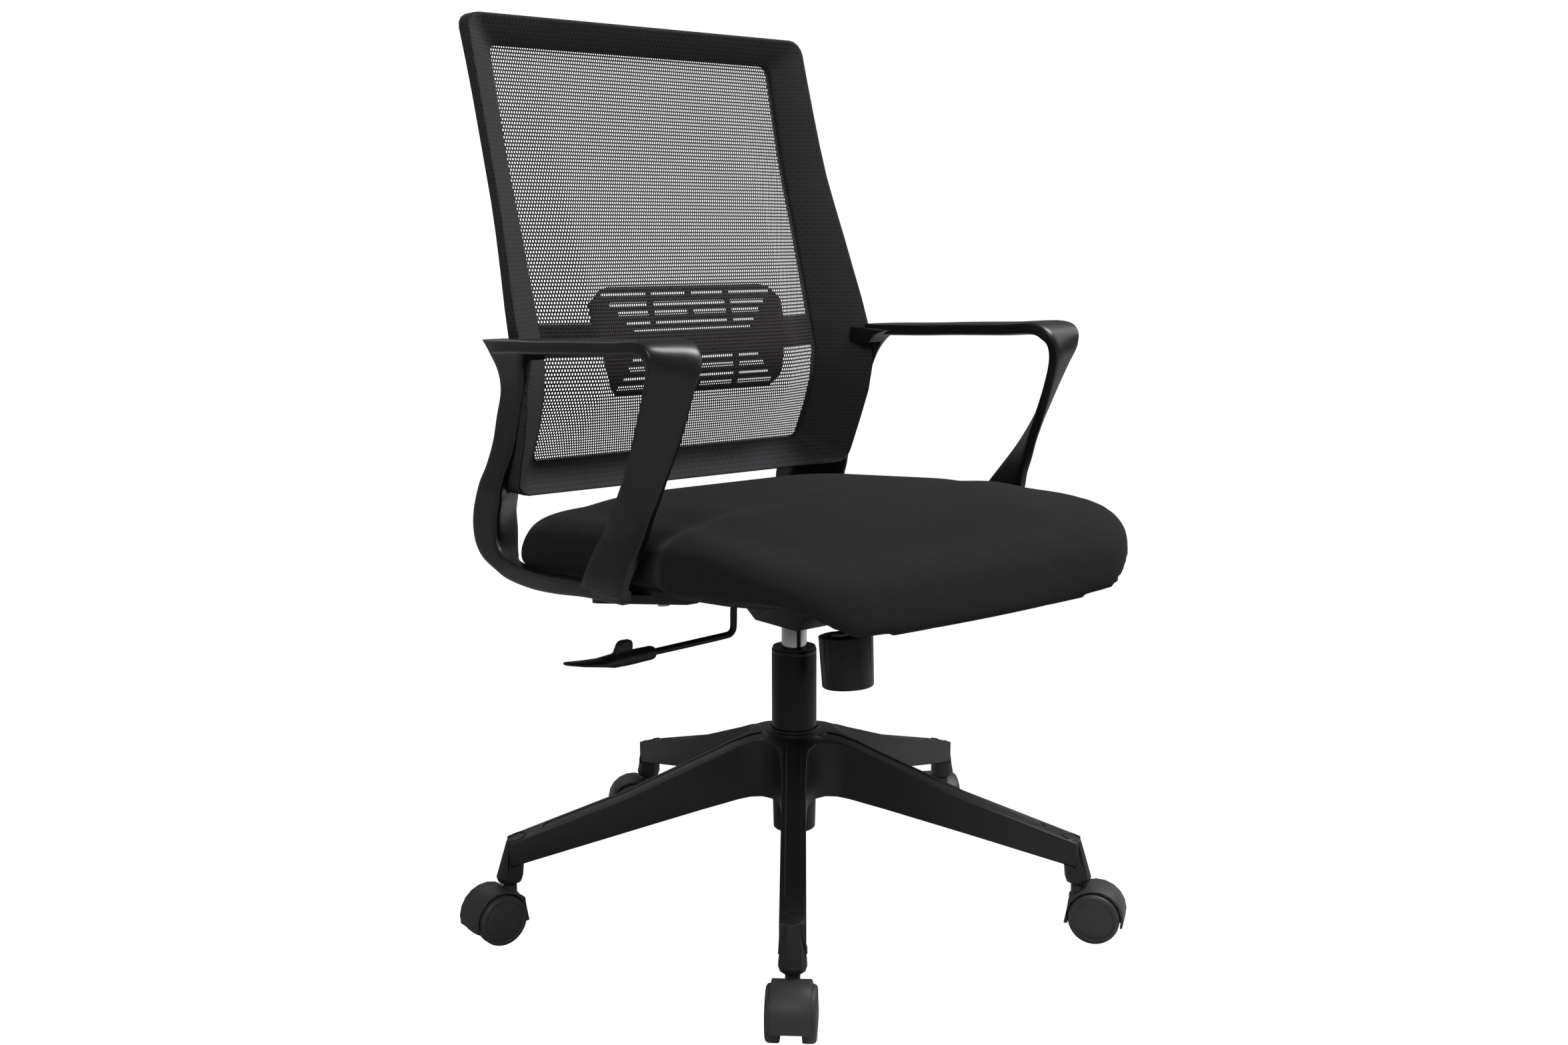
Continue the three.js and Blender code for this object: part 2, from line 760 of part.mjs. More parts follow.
function seatPlate() {
  const top = plateHeight + plateThickness;
  const plate = block(-plateHalfWidth, plateHalfWidth, -plateHalfLength, plateHalfLength, plateHeight, top);
  const window = block(
    -plateWindowHalfWidth, plateWindowHalfWidth, plateWindowFront, plateWindowRear,
    plateHeight - overrun, top + overrun,
  );
  const flangeInner = trayHalfWidth + runningGap;
  const flangeOuter = flangeInner + plateThickness;
  const lug = [];
  const lugSteps = 6;
  for (let i = 0; i <= lugSteps; i++) {
    const turn = mix(-0.95 * PI, -0.05 * PI, i / lugSteps);
    lug.push([flangeLugRadius * cos(turn), flangeLugRadius * sin(turn)]);
  }
  const side = outline([
    [-flangeFront, plateHeight + plateThickness / 2],
    [-flangeFront, plateHeight - flangeFrontDepth],
    ...lug,
    [flangeRear, plateHeight + plateThickness / 2],
  ]);
  const flanges = [acrossX(side, flangeInner, flangeOuter), acrossX(side, -flangeOuter, -flangeInner)];
  const bridge = block(
    -flangeOuter + plateThickness / 2, flangeOuter - plateThickness / 2,
    -boltForward - bridgeHalfLength, -boltForward + bridgeHalfLength,
    bridgeHeight, bridgeHeight + plateThickness,
  );
  const boltHole = rod(boltRadius + gap, 0, plateHeight, smallSides).translate(0, -boltForward, 0);
  const pinHole = rodX(pivotPinRadius + gap, -flangeOuter - overrun, flangeOuter + overrun);
  const bolts = plateBolts.flatMap(([x, y]) => [
    rod(screwHeadRadius, plateHeight - screwHead, plateHeight + plateThickness / 2, 6).translate(x, y, 0),
    rod(screwRadius, plateHeight, plateHeight + plateBoltLength, smallSides).translate(x, y, 0),
  ]);
  return join(cut(join(plate, ...flanges, bridge), window, boltHole, pinHole), ...bolts);
}

function tensionBolt() {
  const seat = bridgeHeight + plateThickness + gap;
  return join(rod(boltRadius, -boltFoot, seat + boltHead / 2, smallSides), rod(boltHeadRadius, seat, seat + boltHead, 6));
}

function tensionKnob() {
  const cupFloorTop = -knobFoot + knobFloor;
  const body = turned([
    [0, -knobFoot],
    [knobFootRadius - knobChamfer, -knobFoot],
    [knobFootRadius, -knobFoot + knobChamfer],
    [knobRimRadius, -knobTop],
    [knobRimRadius - knobWall, -knobTop],
    [knobFootRadius - knobWall, cupFloorTop],
    [knobHubRadius, cupFloorTop],
    [knobHubRadius, cupFloorTop + knobHubHeight],
    [boltRadius + gap, cupFloorTop + knobHubHeight],
    [boltRadius + gap, -boltFoot - gap],
    [0, -boltFoot - gap],
  ], 3 * knobFluteCount);
  const flutes = Array.from({ length: knobFluteCount }, (_, i) => {
    const flute = rod(knobFluteRadius, -knobFluteBottom, -knobTop + overrun, 8);
    flute.translate(knobRimRadius + knobFluteRadius - knobFluteDepth, 0, 0);
    return flute.rotateZ((2 * PI * i) / knobFluteCount);
  });
  return cut(body, ...flutes);
}

// A compression spring as one unbroken tube
function tensionSpring() {
  const foot = -knobFoot + knobFloor + gap + springWire;
  const head = -springTopDrop - springWire;
  const steps = springTurns * springStepsPerTurn;
  const place = (i) => {
    const turn = (2 * PI * i) / springStepsPerTurn;
    return vector(springRadius * cos(turn), springRadius * sin(turn), mix(foot, head, i / steps));
  };
  const rings = [];
  const middles = [];
  for (let i = 0; i <= steps; i++) {
    const middle = place(i);
    const forward = place(i + 1 / 2).sub(place(i - 1 / 2)).normalize();
    const outward = vector(middle.x, middle.y, 0).normalize();
    middles.push(middle);
    rings.push(section(middle, outward, forward.clone().cross(outward).normalize(), springWire, springWire, springWireSides, 1));
  }
  let least = Infinity;
  middles.forEach((a, i) =>
    middles.slice(i + springStepsPerTurn / 2).forEach((b) => (least = min(least, a.distanceTo(b) - 2 * springWire))),
  );
  console.log(`tension_spring: least gap to itself ${least.toFixed(2)} mm`);
  return loft(rings);
}

// Release lever: a collar that rocks between two ears, the rod through it and a paddle
function releaseCam() {
  const armBottom = buttonTop + gap;
  const armTop = armBottom + camArmThickness;
  const outer = camPivotOut + camOuter;
  const inner = camPivotOut - camInner;
  const collar = block(-outer, -inner, -camHalfWidth, camHalfWidth, camPivotHeight - camDrop, armTop);
  const arm = block(-outer + overrun, camArmReach, -camArmHalfWidth, camArmHalfWidth, armBottom, armTop);
  const reach = camHalfWidth + gap + earThickness;
  const trunnions = rodY(camTrunnionRadius, -reach, reach, smallSides).translate(-camPivotOut, 0, camPivotHeight);
  const bore = rodX(leverRadius + gap, -outer - overrun, -inner + overrun, smallSides).translate(0, 0, camPivotHeight);
  return cut(join(collar, arm, trunnions), bore);
}

// A round rod through points in the X-Z plane
function bentRod(points, radius, sides) {
  const across = vector(0, 1, 0);
  const rings = points.map((p, i) => {
    const forward = points[min(i + 1, points.length - 1)].clone().sub(points[max(i - 1, 0)]).normalize();
    return section(p, across, forward.clone().cross(across), radius, radius, sides, 1);
  });
  return loft(rings);
}

function leverRod() {
  const bendSteps = 4;
  const bend = (x, z, from) =>
    Array.from({ length: bendSteps + 1 }, (_, i) => {
      const turn = from + (PI / 2) * (i / bendSteps);
      return vector(x + leverBend * cos(turn), 0, z + leverBend * sin(turn));
    });
  return bentRod([
    vector(-leverInnerEnd, 0, camPivotHeight),
    ...bend(-leverDropOut + leverBend, camPivotHeight - leverBend, PI / 2),
    ...bend(-leverDropOut - leverBend, leverRunHeight + leverBend, -PI / 2).toReversed(),
    vector(-leverTip, 0, leverTipHeight),
  ], leverRadius, smallSides);
}

// Sections of the paddle: shares of its length, its half-width, its half-thickness and its rise
const paddleShares = [
  [0, 0.5, 0.75, 0],
  [0.04, 0.62, 0.95, 0],
  [0.3, 0.68, 1, 0],
  [0.48, 0.8, 0.9, 0],
  [0.62, 1, 0.5, 0.1],
  [0.82, 0.95, 0.3, 0.5],
  [0.97, 0.6, 0.2, 0.95],
  [1, 0.3, 0.14, 1],
];

// A row per corner of the tab: its place along the tab and its share of the height
const tabShares = [
  [0.88, 0],
  [0.6, 0.82],
  [0.42, 1],
  [-0.02, 1],
  [-0.1, 0.8],
  [0, 0],
];

function leverPaddle() {
  const slope = (leverTipHeight - leverRunHeight) / (leverTip - leverDropOut - leverBend);
  const lie = (out) => leverRunHeight + (out - leverDropOut - leverBend) * slope;
  const length = paddleTip - paddleInner;
  const rings = paddleShares.map(([place, width, depth, rise]) => {
    const out = paddleInner + place * length;
    const height = lie(min(out, leverTip)) + rise * paddleTipRise;
    const middle = vector(-out, 0, height);
    const halfWidth = width * paddleHalfWidth;
    const halfDepth = depth * paddleGripRadius;
    return section(middle, vector(0, 1, 0), vector(0, 0, 1), halfWidth, halfDepth, smallSides, 0.8);
  });
  const tabOut = paddleInner + length * paddleTabShare;
  const tabFoot = lie(tabOut);
  const tab = outline(
    tabShares.map(([out, high]) => [-tabOut - out * paddleTabLength, tabFoot + high * paddleTabHeight]),
  );
  const boreEnd = vector(-leverTip, 0, leverTipHeight);
  const boreStart = vector(-paddleInner + overrun, 0, lie(paddleInner - overrun));
  const beyond = boreEnd.clone().sub(boreStart).setLength(gap).add(boreEnd);
  return cut(
    join(loft(rings), acrossY(tab, -paddleTabThickness / 2, paddleTabThickness / 2)),
    bentRod([boreStart, beyond], leverRadius + gap, smallSides),
  );
}

// Seat: rings of an outline with round corners, lowered towards the front

// Fall of the waterfall front at a place: gentle on top, and late at the lower edge
function lipFall(x, y, height) {
  const share = min(max((-y - seatFront + seatLipLength) / seatLipLength, 0), 1);
  const high = min(max((height - seatEdgeHeight) / (seatCrestHeight - seatEdgeHeight), 0), 1);
  const drop = mix(seatLipDrop, seatLipCornerDrop, min(abs(x) / seatHalfWidth, 1) ** 2);
  return drop * share ** mix(seatLipLate, 2, high);
}

function seatRing(form, inset, height) {
  const wide = form.halfWidth - inset;
  const cornerSteps = 4;
  const sideSteps = 7;
  const points = [];
  const corner = (sx, sy, reach, radius, from) => {
    const round = max(radius - inset, min(wide, reach) * 0.4);
    for (let i = 0; i <= cornerSteps; i++) {
      const turn = from + (PI / 2) * (i / cornerSteps);
      points.push([sx * (wide - round) + round * cos(turn), sy * (reach - round) + round * sin(turn)]);
    }
  };
  corner(1, 1, form.rear - inset, form.rearRadius, 0);
  corner(-1, 1, form.rear - inset, form.rearRadius, PI / 2);
  corner(-1, -1, form.front - inset, form.frontRadius, PI);
  corner(1, -1, form.front - inset, form.frontRadius, 1.5 * PI);
  const filled = points.flatMap(([x, y], i) => {
    const [nx, ny] = points[(i + 1) % points.length];
    const steps = i % (cornerSteps + 1) === cornerSteps ? sideSteps : 1;
    return Array.from({ length: steps }, (_, k) => [mix(x, nx, k / steps), mix(y, ny, k / steps)]);
  });
  return filled.map(([x, y]) => {
    const bow = y < 0 ? form.bow * (1 - (x / form.halfWidth) ** 2) * (-y / form.front) ** 2 : 0;
    const ahead = min(max((-y - seatFlareStart) / seatFlareLength, 0), 1);
    const flare = (form.flare * x * ahead ** 2 * (3 - 2 * ahead)) / form.halfWidth;
    return vector(x + flare, y - bow, height - lipFall(x, y, height));
  });
}

// A solid through [inset, height] layers, from the middle of its underside to the middle of its top
const seatLayers = (form, layers) => loft(layers.map(([inset, height]) => seatRing(form, inset, height)));

const panForm = {
  halfWidth: panHalfWidth,
  front: panFront,
  rear: panRear,
  frontRadius: panFrontRadius,
  rearRadius: panRearRadius,
  bow: seatFrontBow,
  flare: 0,
};
const panInsetShares = [0.52, 0.24, 0];
const panTop = panHeight + panThickness;

function panSlab(grown, foot, top) {
  const insets = panInsetShares.map((share) => share * panHalfWidth - grown);
  return seatLayers(panForm, [
    ...insets.map((inset) => [inset, foot]),
    ...insets.toReversed().map((inset) => [inset, top]),
  ]);
}

const armSeatScrews = [-1, 1].map((sy) => [armSeatScrewOut, sy * armSeatScrewSpread]);

function seatPan() {
  const hole = (x, y) => rod(screwRadius + gap, panHeight - overrun, panTop - gap, smallSides).translate(x, y, 0);
  const armHoles = armSeatScrews.flatMap(([x, y]) => [hole(x, y), hole(-x, y)]);
  const plateHoles = plateBolts.map(([x, y]) => hole(x, y));
  return cut(panSlab(0, panHeight, panTop), ...armHoles, ...plateHoles);
}

const seatForm = {
  halfWidth: seatHalfWidth,
  front: seatFront - seatFrontBow,
  rear: seatRear,
  frontRadius: seatFrontRadius,
  rearRadius: seatRearRadius,
  bow: seatFrontBow,
  flare: seatFlare,
};
// Insets as shares of the half-width, and heights as shares of the side
const seatSideShares = [
  [0.024, 0.13],
  [0, 0.33],
  [0.008, 0.6],
  [0.036, 0.83],
  [0.09, 0.95],
  [0.17, 1],
];
// Insets as shares of the half-width, and heights as shares of the crown
const seatCrownShares = [
  [0.36, 0.5],
  [0.6, 0.85],
  [0.85, 1],
];

function seatCushion() {
  const side = (share) => mix(seatEdgeHeight, seatCrestHeight, share);
  const layers = [
    ...panInsetShares.slice(0, -1).map((share) => [share * seatHalfWidth + seatDrawIn, seatEdgeHeight]),
    [seatDrawIn, seatEdgeHeight],
    ...seatSideShares.map(([inset, height]) => [inset * seatHalfWidth, side(height)]),
    ...seatCrownShares.map(([inset, height]) => [inset * seatHalfWidth, seatCrestHeight + height * seatCrown]),
  ];
  return cut(seatLayers(seatForm, layers), panSlab(gap, -seatLipDrop, panTop + gap));
}

// Back: a bevelled frame whose sides sweep forward from its window

// The outer edge seen from the side: shares of the height and of the rearward lean
const backCurveShares = [
  [0, 0.3],
  [0.07, 0.2],
  [0.143, 0.08],
  [0.22, 0],
  [0.27, 0],
  [0.34, 0.09],
  [0.45, 0.25],
  [0.56, 0.41],
  [0.68, 0.6],
  [0.79, 0.745],
  [1, 1],
];
const backShare = (z) => (z - backBottom) / (backTop - backBottom);
const edgeDepth = (z) => backNearest + backRearward * along(backCurveShares, backShare(z));
const windowDepth = (z) => {
  const share = (z - backWindowBottom) / (backWindowTop - backWindowBottom);
  return edgeDepth(z) + mix(sweepBottom, sweepTop, share);
};
// The outer edge seen from the front, and the frame's depth: shares of the height and of the greatest value
const backWidthShares = [
  [0, 0.963],
  [0.33, 1],
  [0.45, 0.984],
  [0.65, 0.953],
  [0.85, 0.945],
  [1, 0.945],
];
const frameDepthShares = [
  [0, 1],
  [0.2, 0.8],
  [0.43, 0.55],
  [0.8, 0.52],
  [1, 0.66],
];
const backHalfWidth = (z) => backHalfWidest * along(backWidthShares, backShare(z));
const windowHalfWidth = (z) =>
  mix(windowBottomHalfWidth, windowTopHalfWidth, (z - backWindowBottom) / (backWindowTop - backWindowBottom));

// Pairs of outer and window points round the frame: [x, z] each
function frameStations() {
  const cornerSteps = 4;
  const sideSteps = 13;
  const pairs = [];
  const cornerAt = (halfWidth, edge, radius, up, turn) => {
    const middle = edge - up * radius;
    return [halfWidth(middle) - radius + radius * cos(turn), middle + radius * sin(turn)];
  };
  const pair = (up, turn) => [
    cornerAt(backHalfWidth, up > 0 ? backTop : backBottom, backOuterRadius, up, turn),
    cornerAt(windowHalfWidth, up > 0 ? backWindowTop : backWindowBottom, backWindowRadius, up, turn),
  ];
  pairs.push([[0, backBottom], [0, backWindowBottom]]);
  for (let i = 0; i < cornerSteps; i++) pairs.push(pair(-1, mix(-PI / 2, 0, i / cornerSteps)));
  for (let i = 0; i <= sideSteps; i++) {
    const outer = mix(backBottom + backOuterRadius, backTop - backOuterRadius, i / sideSteps);
    const inner = mix(backWindowBottom + backWindowRadius, backWindowTop - backWindowRadius, i / sideSteps);
    pairs.push([[backHalfWidth(outer), outer], [windowHalfWidth(inner), inner]]);
  }
  for (let i = 1; i <= cornerSteps; i++) pairs.push(pair(1, mix(0, PI / 2, i / cornerSteps)));
  pairs.push([[0, backTop], [0, backWindowTop]]);
  const mirrored = pairs.slice(1, -1).toReversed();
  return [...pairs, ...mirrored.map((both) => both.map(([x, z]) => [-x, z]))];
}

function frameLoop(grown = 0) {
  const rings = frameStations().map(([[xo, zo], [xi, zi]]) => {
    const outer = vector(xo, edgeDepth(zo), zo);
    const inner = vector(xi, windowDepth(zi), zi);
    const depth = frameDepth * along(frameDepthShares, backShare(zo));
    const outward = vector(xo - xi, 0, zo - zi).normalize().multiplyScalar(grown);
    const back = vector(0, grown, 0);
    const towards = inner.clone().sub(outer).setLength(frameChamfer);
    return [
      outer.clone().add(vector(0, frameChamfer, 0)).add(outward),
      outer.clone().add(towards).add(outward).sub(back),
      inner.clone().sub(outward).sub(back),
      inner.clone().add(vector(0, frameInnerDepth, 0)).sub(outward).add(back),
      outer.clone().add(vector(0, depth, 0)).add(outward).add(back),
    ];
  });
  return loft(rings, true);
}

// The window's outline, drawn in by a clearance
function windowOutline(inset) {
  const points = frameStations().map(([, [x, z]]) => {
    const middle = (backWindowBottom + backWindowTop) / 2;
    const squeeze = 1 - inset / windowBottomHalfWidth;
    return [x * squeeze, middle + (z - middle) * squeeze];
  });
  return outline(points);
}

// Edges of the net's openings, as shares of its width or height
function netEdges(count) {
  const strand = clothStrandShare / count;
  const openings = Array.from({ length: count }, (_, i) => [i / count + strand / 2, (i + 1) / count - strand / 2]);
  return [0, ...openings.flat(), 1];
}

const netColumns = netEdges(clothColumns);
const netHeights = netEdges(clothRows).map((share) => mix(backWindowBottom + gap, backWindowTop - gap, share));

// How far the lumbar plate pushes the net forward, as a share, at a place
const pushShares = [
  [backWindowBottom, 0],
  [lumbarBottom, 1],
  [lumbarTop, 1],
  [backWindowTop, 0],
];
function netPush(x, z) {
  const side = (windowHalfWidth(z) - abs(x)) / (windowHalfWidth(z) - lumbarShoulderHalfWidth);
  const i = pushShares.findIndex(([height]) => height > z);
  const [low, from] = pushShares[i < 1 ? 0 : i - 1];
  const [high, to] = pushShares[i < 1 ? 1 : i];
  return lumbarPush * min(side, 1) * mix(from, to, min(max((z - low) / (high - low), 0), 1));
}

// A curved sheet on the net's grid, behind its front face, with openings where they are asked for
function sheetOnGrid(setBack, thickness, openAt) {
  const at = (i, j, side) => {
    const z = netHeights[i];
    const x = mix(-1, 1, netColumns[j]) * (windowHalfWidth(z) - gap);
    return vector(x, windowDepth(z) + clothSetBack - netPush(x, z) + setBack + side * thickness, z);
  };
  const points = [];
  const quad = (a, b, c, d) => [a, b, c, a, c, d].forEach((p) => points.push(p.x, p.y, p.z));
  const inside = (i, j) => i >= 0 && j >= 0 && i < netHeights.length - 1 && j < netColumns.length - 1;
  const filled = (i, j) => inside(i, j) && !openAt(i, j);
  for (let i = 0; i < netHeights.length - 1; i++) {
    for (let j = 0; j < netColumns.length - 1; j++) {
      if (!filled(i, j)) continue;
      quad(at(i, j, 0), at(i, j + 1, 0), at(i + 1, j + 1, 0), at(i + 1, j, 0));
      quad(at(i, j, 1), at(i + 1, j, 1), at(i + 1, j + 1, 1), at(i, j + 1, 1));
      if (!filled(i - 1, j)) quad(at(i, j, 0), at(i, j, 1), at(i, j + 1, 1), at(i, j + 1, 0));
      if (!filled(i + 1, j)) quad(at(i + 1, j, 0), at(i + 1, j + 1, 0), at(i + 1, j + 1, 1), at(i + 1, j, 1));
      if (!filled(i, j - 1)) quad(at(i, j, 0), at(i + 1, j, 0), at(i + 1, j, 1), at(i, j, 1));
      if (!filled(i, j + 1)) quad(at(i, j + 1, 0), at(i, j + 1, 1), at(i + 1, j + 1, 1), at(i + 1, j + 1, 0));
    }
  }
  const sheet = new THREE.BufferGeometry();
  return sheet.setAttribute("position", new THREE.Float32BufferAttribute(points, 3));
}

const backReach = windowDepth(backWindowTop) + clothSetBack + overrun;

// The back's net: rows of openings in a thin sheet
function backMesh() {
  const net = sheetOnGrid(0, clothThickness, (i, j) => i % 2 === 1 && j % 2 === 1);
  return common(net, acrossY(windowOutline(gap), 0, backReach));
}

// A slotted plate that a cross bar carries from side to side behind the net
function lumbarSupport() {
  const strip = sheetOnGrid(clothThickness + gap, lumbarThickness, () => false);
  const barEnd = windowHalfWidth(lumbarBarBottom) - gap;
  const half = [
    [lumbarFootHalfWidth - lumbarCorner, lumbarBottom],
    [lumbarFootHalfWidth, lumbarBottom + lumbarCorner],
    [mix(lumbarFootHalfWidth, lumbarShoulderHalfWidth, 0.5), lumbarBarBottom],
    [barEnd, lumbarBarBottom],
    [barEnd, lumbarBarTop],
    [lumbarShoulderHalfWidth, lumbarBarTop],
    [lumbarShoulderHalfWidth, lumbarShoulder],
    [lumbarTopHalfWidth + lumbarCorner, lumbarTop - lumbarCorner / 4],
    [lumbarTopHalfWidth, lumbarTop],
  ];
  const reach = barEnd + overrun;
  const back = backReach;
  const slots = [];
  const slot = (from, to, middle, height) => {
    slots.push(block(from, to, 0, back, middle - height / 2, middle + height / 2));
  };
  const row = (halfWidth, middle, parted) => {
    const near = slotBridgeOut - slotBridge / 2;
    const far = slotBridgeOut + slotBridge / 2;
    slot(-halfWidth, -far, middle, slotHeight);
    slot(far, halfWidth, middle, slotHeight);
    if (parted) {
      slot(-near, -slotBridge / 2, middle, slotHeight);
      slot(slotBridge / 2, near, middle, slotHeight);
    } else slot(-near, near, middle, slotHeight);
  };
  for (let i = 0; i < slotRows; i++) {
    row(slotTopHalfWidth - i * slotTopStep, lumbarTop - slotMargin - i * slotPitch, i % 2 === 0);
    row(slotFootHalfWidth - i * slotFootStep, lumbarBottom + slotMargin + i * slotPitch, i % 2 === 0);
  }
  slot(-slitHalfWidth, slitHalfWidth, lumbarTop - slotMargin - slotRows * slotPitch + slotPitch / 6, slitHeight);
  const plate = outline([...half, ...half.toReversed().map(([x, z]) => [-x, z])]);
  return cut(common(strip, acrossY(plate, 0, back)), ...slots);
}

// Arms: a front band that twists into the rest, and an upright that turns into the lower bar

// Sections of the front band and the rest: shares of the reach, the forward place, the height,
// the width, the quarter turn from across to along, and the thickness
const bandShares = [
  [1.02, -0.0545, 0.151, 1.12, 1, 0.8],
  [1.02, 0.00909, 0.204, 1.09, 1, 0.8],
  [1.01, 0.118, 0.281, 1.02, 0.98, 0.8],
  [1, 0.241, 0.358, 0.909, 0.92, 0.8],
  [1, 0.345, 0.428, 0.773, 0.81, 0.8],
  [1, 0.464, 0.498, 0.697, 0.69, 0.8],
  [1, 0.568, 0.568, 0.659, 0.56, 0.8],
  [1, 0.718, 0.674, 0.682, 0.44, 0.8],
  [1, 0.841, 0.779, 0.697, 0.37, 0.8],
  [1, 0.941, 0.874, 0.712, 0.28, 0.86],
  [0.996, 0.995, 0.94, 0.788, 0.16, 0.94],
  [0.992, 0.959, 0.986, 0.879, 0.05, 1],
  [0.992, 0.8, 1.01, 0.939, 0, 1],
  [0.992, 0.364, 1, 0.894, 0, 1],
  [0.992, -0.364, 0.988, 0.803, 0, 1],
  [0.989, -0.909, 0.977, 0.712, 0, 1],
  [0.981, -1.55, 0.967, 0.576, 0, 1],
  [0.973, -1.93, 0.958, 0.439, 0, 1],
  [0.966, -2.07, 0.954, 0.303, 0, 0.95],
];

// Sections of the lower bar and the upright: rearward and height shares of the outer edge and of
// the inner edge, then shares of the reach for the outer face, the inner face and how far back that lies
const uprightShares = [
  [-0.107, 0.126, -0.107, 0.172, 1.04, 0.992, 0],
  [0.133, 0.109, 0.133, 0.158, 1.03, 0.955, 0],
  [0.333, 0.0842, 0.333, 0.144, 1.02, 0.947, 0],
  [0.533, 0.0667, 0.533, 0.132, 1, 0.932, 0],
  [0.731, 0.0667, 0.721, 0.133, 0.977, 0.902, 0.0152],
  [0.836, 0.0877, 0.787, 0.151, 0.97, 0.856, 0.0379],
  [0.933, 0.121, 0.824, 0.186, 0.966, 0.803, 0.0758],
  [0.987, 0.172, 0.839, 0.232, 0.962, 0.769, 0.106],
  [0.998, 0.242, 0.835, 0.291, 0.962, 0.754, 0.136],
  [0.983, 0.319, 0.817, 0.351, 0.962, 0.75, 0.144],
  [0.94, 0.411, 0.807, 0.393, 0.962, 0.754, 0.144],
  [0.896, 0.488, 0.772, 0.474, 0.955, 0.769, 0.114],
  [0.872, 0.582, 0.734, 0.561, 0.939, 0.795, 0.0606],
  [0.841, 0.684, 0.695, 0.663, 0.939, 0.818, 0.0303],
  [0.8, 0.782, 0.637, 0.793, 0.947, 0.833, 0],
  [0.787, 0.86, 0.607, 0.877, 0.966, 0.848, 0],
  [0.81, 0.933, 0.56, 0.94, 0.992, 0.856, 0],
  [0.833, 0.979, 0.487, 0.965, 1.01, 0.864, 0],
];

function armLoop() {
  const middles = bandShares.map(([out, forward, height]) =>
    vector(out * armReach, -forward * armForward, height * armHeight),
  );
  const band = bandShares.map(([, , , width, turn, thick], i) => {
    const across = vector(cos((turn * PI) / 2), sin((turn * PI) / 2), 0);
    const ahead = middles[min(i + 1, middles.length - 1)].clone().sub(middles[max(i - 1, 0)]);
    const through = ahead.cross(across).normalize();
    return section(middles[i], across, through, (width * restWidth) / 2, (thick * restThickness) / 2);
  });
  const upright = uprightShares.map(([outerRear, outerHigh, innerRear, innerHigh, outerOut, innerOut, swept]) => {
    const outer = vector(outerOut * armReach, outerRear * uprightRear, outerHigh * armHeight);
    const inner = vector(outerOut * armReach, innerRear * uprightRear, innerHigh * armHeight);
    const across = outer.clone().sub(inner);
    const through = vector(outerOut - innerOut, -swept, 0).multiplyScalar(armReach / 2);
    const middle = outer.add(inner).divideScalar(2).sub(through);
    const halfAcross = across.length() / 2;
    const halfThrough = through.length();
    const wider = (uprightTaper * swept) / uprightSweep;
    return section(middle, across.normalize(), through.normalize(), halfAcross, halfThrough, armSections, 0.45, wider);
  });
  return join(loft(band), loft(upright));
}

const inUprightFrame = (shape) => shape.rotateX(-seatSlope);
const flangeTop = panHeight - gap;

// A screw with its head's seat at the origin and its shank along +Z
function screw(length, grown = 0, lift = 0) {
  return join(
    rod(screwRadius + grown, -screwHead / 2, length + grown, smallSides),
    rod(screwHeadRadius + grown, -screwHead - lift, grown, smallSides),
  );
}

const screwMaterial = plainSteel;

// The screws that hold an arm to the back, in the upright frame
function armBackPlaces(side) {
  return armBackScrewHeights.map((height) => {
    const rear = along(uprightShares.slice(9).map(([y, z]) => [z * armHeight, y * uprightRear]), height);
    const pitch = radians(armBackScrewPitchDegrees);
    const inward = vector(0, -cos(pitch), -sin(pitch));
    const seat = vector(side * armBackScrewOut, rear, height).addScaledVector(inward, screwRecess);
    const turn = new THREE.Quaternion().setFromUnitVectors(vector(0, 0, 1), inward);
    return new THREE.Matrix4().compose(seat, turn, vector(1, 1, 1));
  });
}

function armSeatPlaces(side) {
  const seat = flangeTop - armFlangeThickness - gap;
  return armSeatScrews.map(([x, y]) => new THREE.Matrix4().makeTranslation(side * x, y, seat));
}

const placed = (solid, matrix) => geometryOf(solid).applyMatrix4(matrix);
const backScrewHoles = (side) =>
  armBackPlaces(side).map((matrix) => placed(screw(armBackScrewLength, gap, screwRecess + overrun), matrix));

function arm(side) {
  const flange = prism(
    outline([
      [armFlangeInner, -armFlangeFront],
      [armFlangeFrontOuter, -armFlangeFront],
      [armFlangeOuter, armFlangeTaperStart],
      [armFlangeOuter, armFlangeRear],
      [armFlangeInner, armFlangeRear],
    ]),
    flangeTop - armFlangeThickness,
    flangeTop,
  );
  const shape = geometryOf(join(armLoop(), inUprightFrame(flange)));
  if (side < 0) shape.scale(-1, 1, 1);
  const seatHoles = armSeatPlaces(side).map((matrix) =>
    inUprightFrame(rod(screwRadius + gap, -overrun, armSeatScrewLength + overrun, smallSides).applyMatrix4(matrix)),
  );
  return cut(shape, frameLoop(3 * gap), ...seatHoles, ...backScrewHoles(side));
}

const backFrame = () => cut(frameLoop(), ...backScrewHoles(1), ...backScrewHoles(-1));

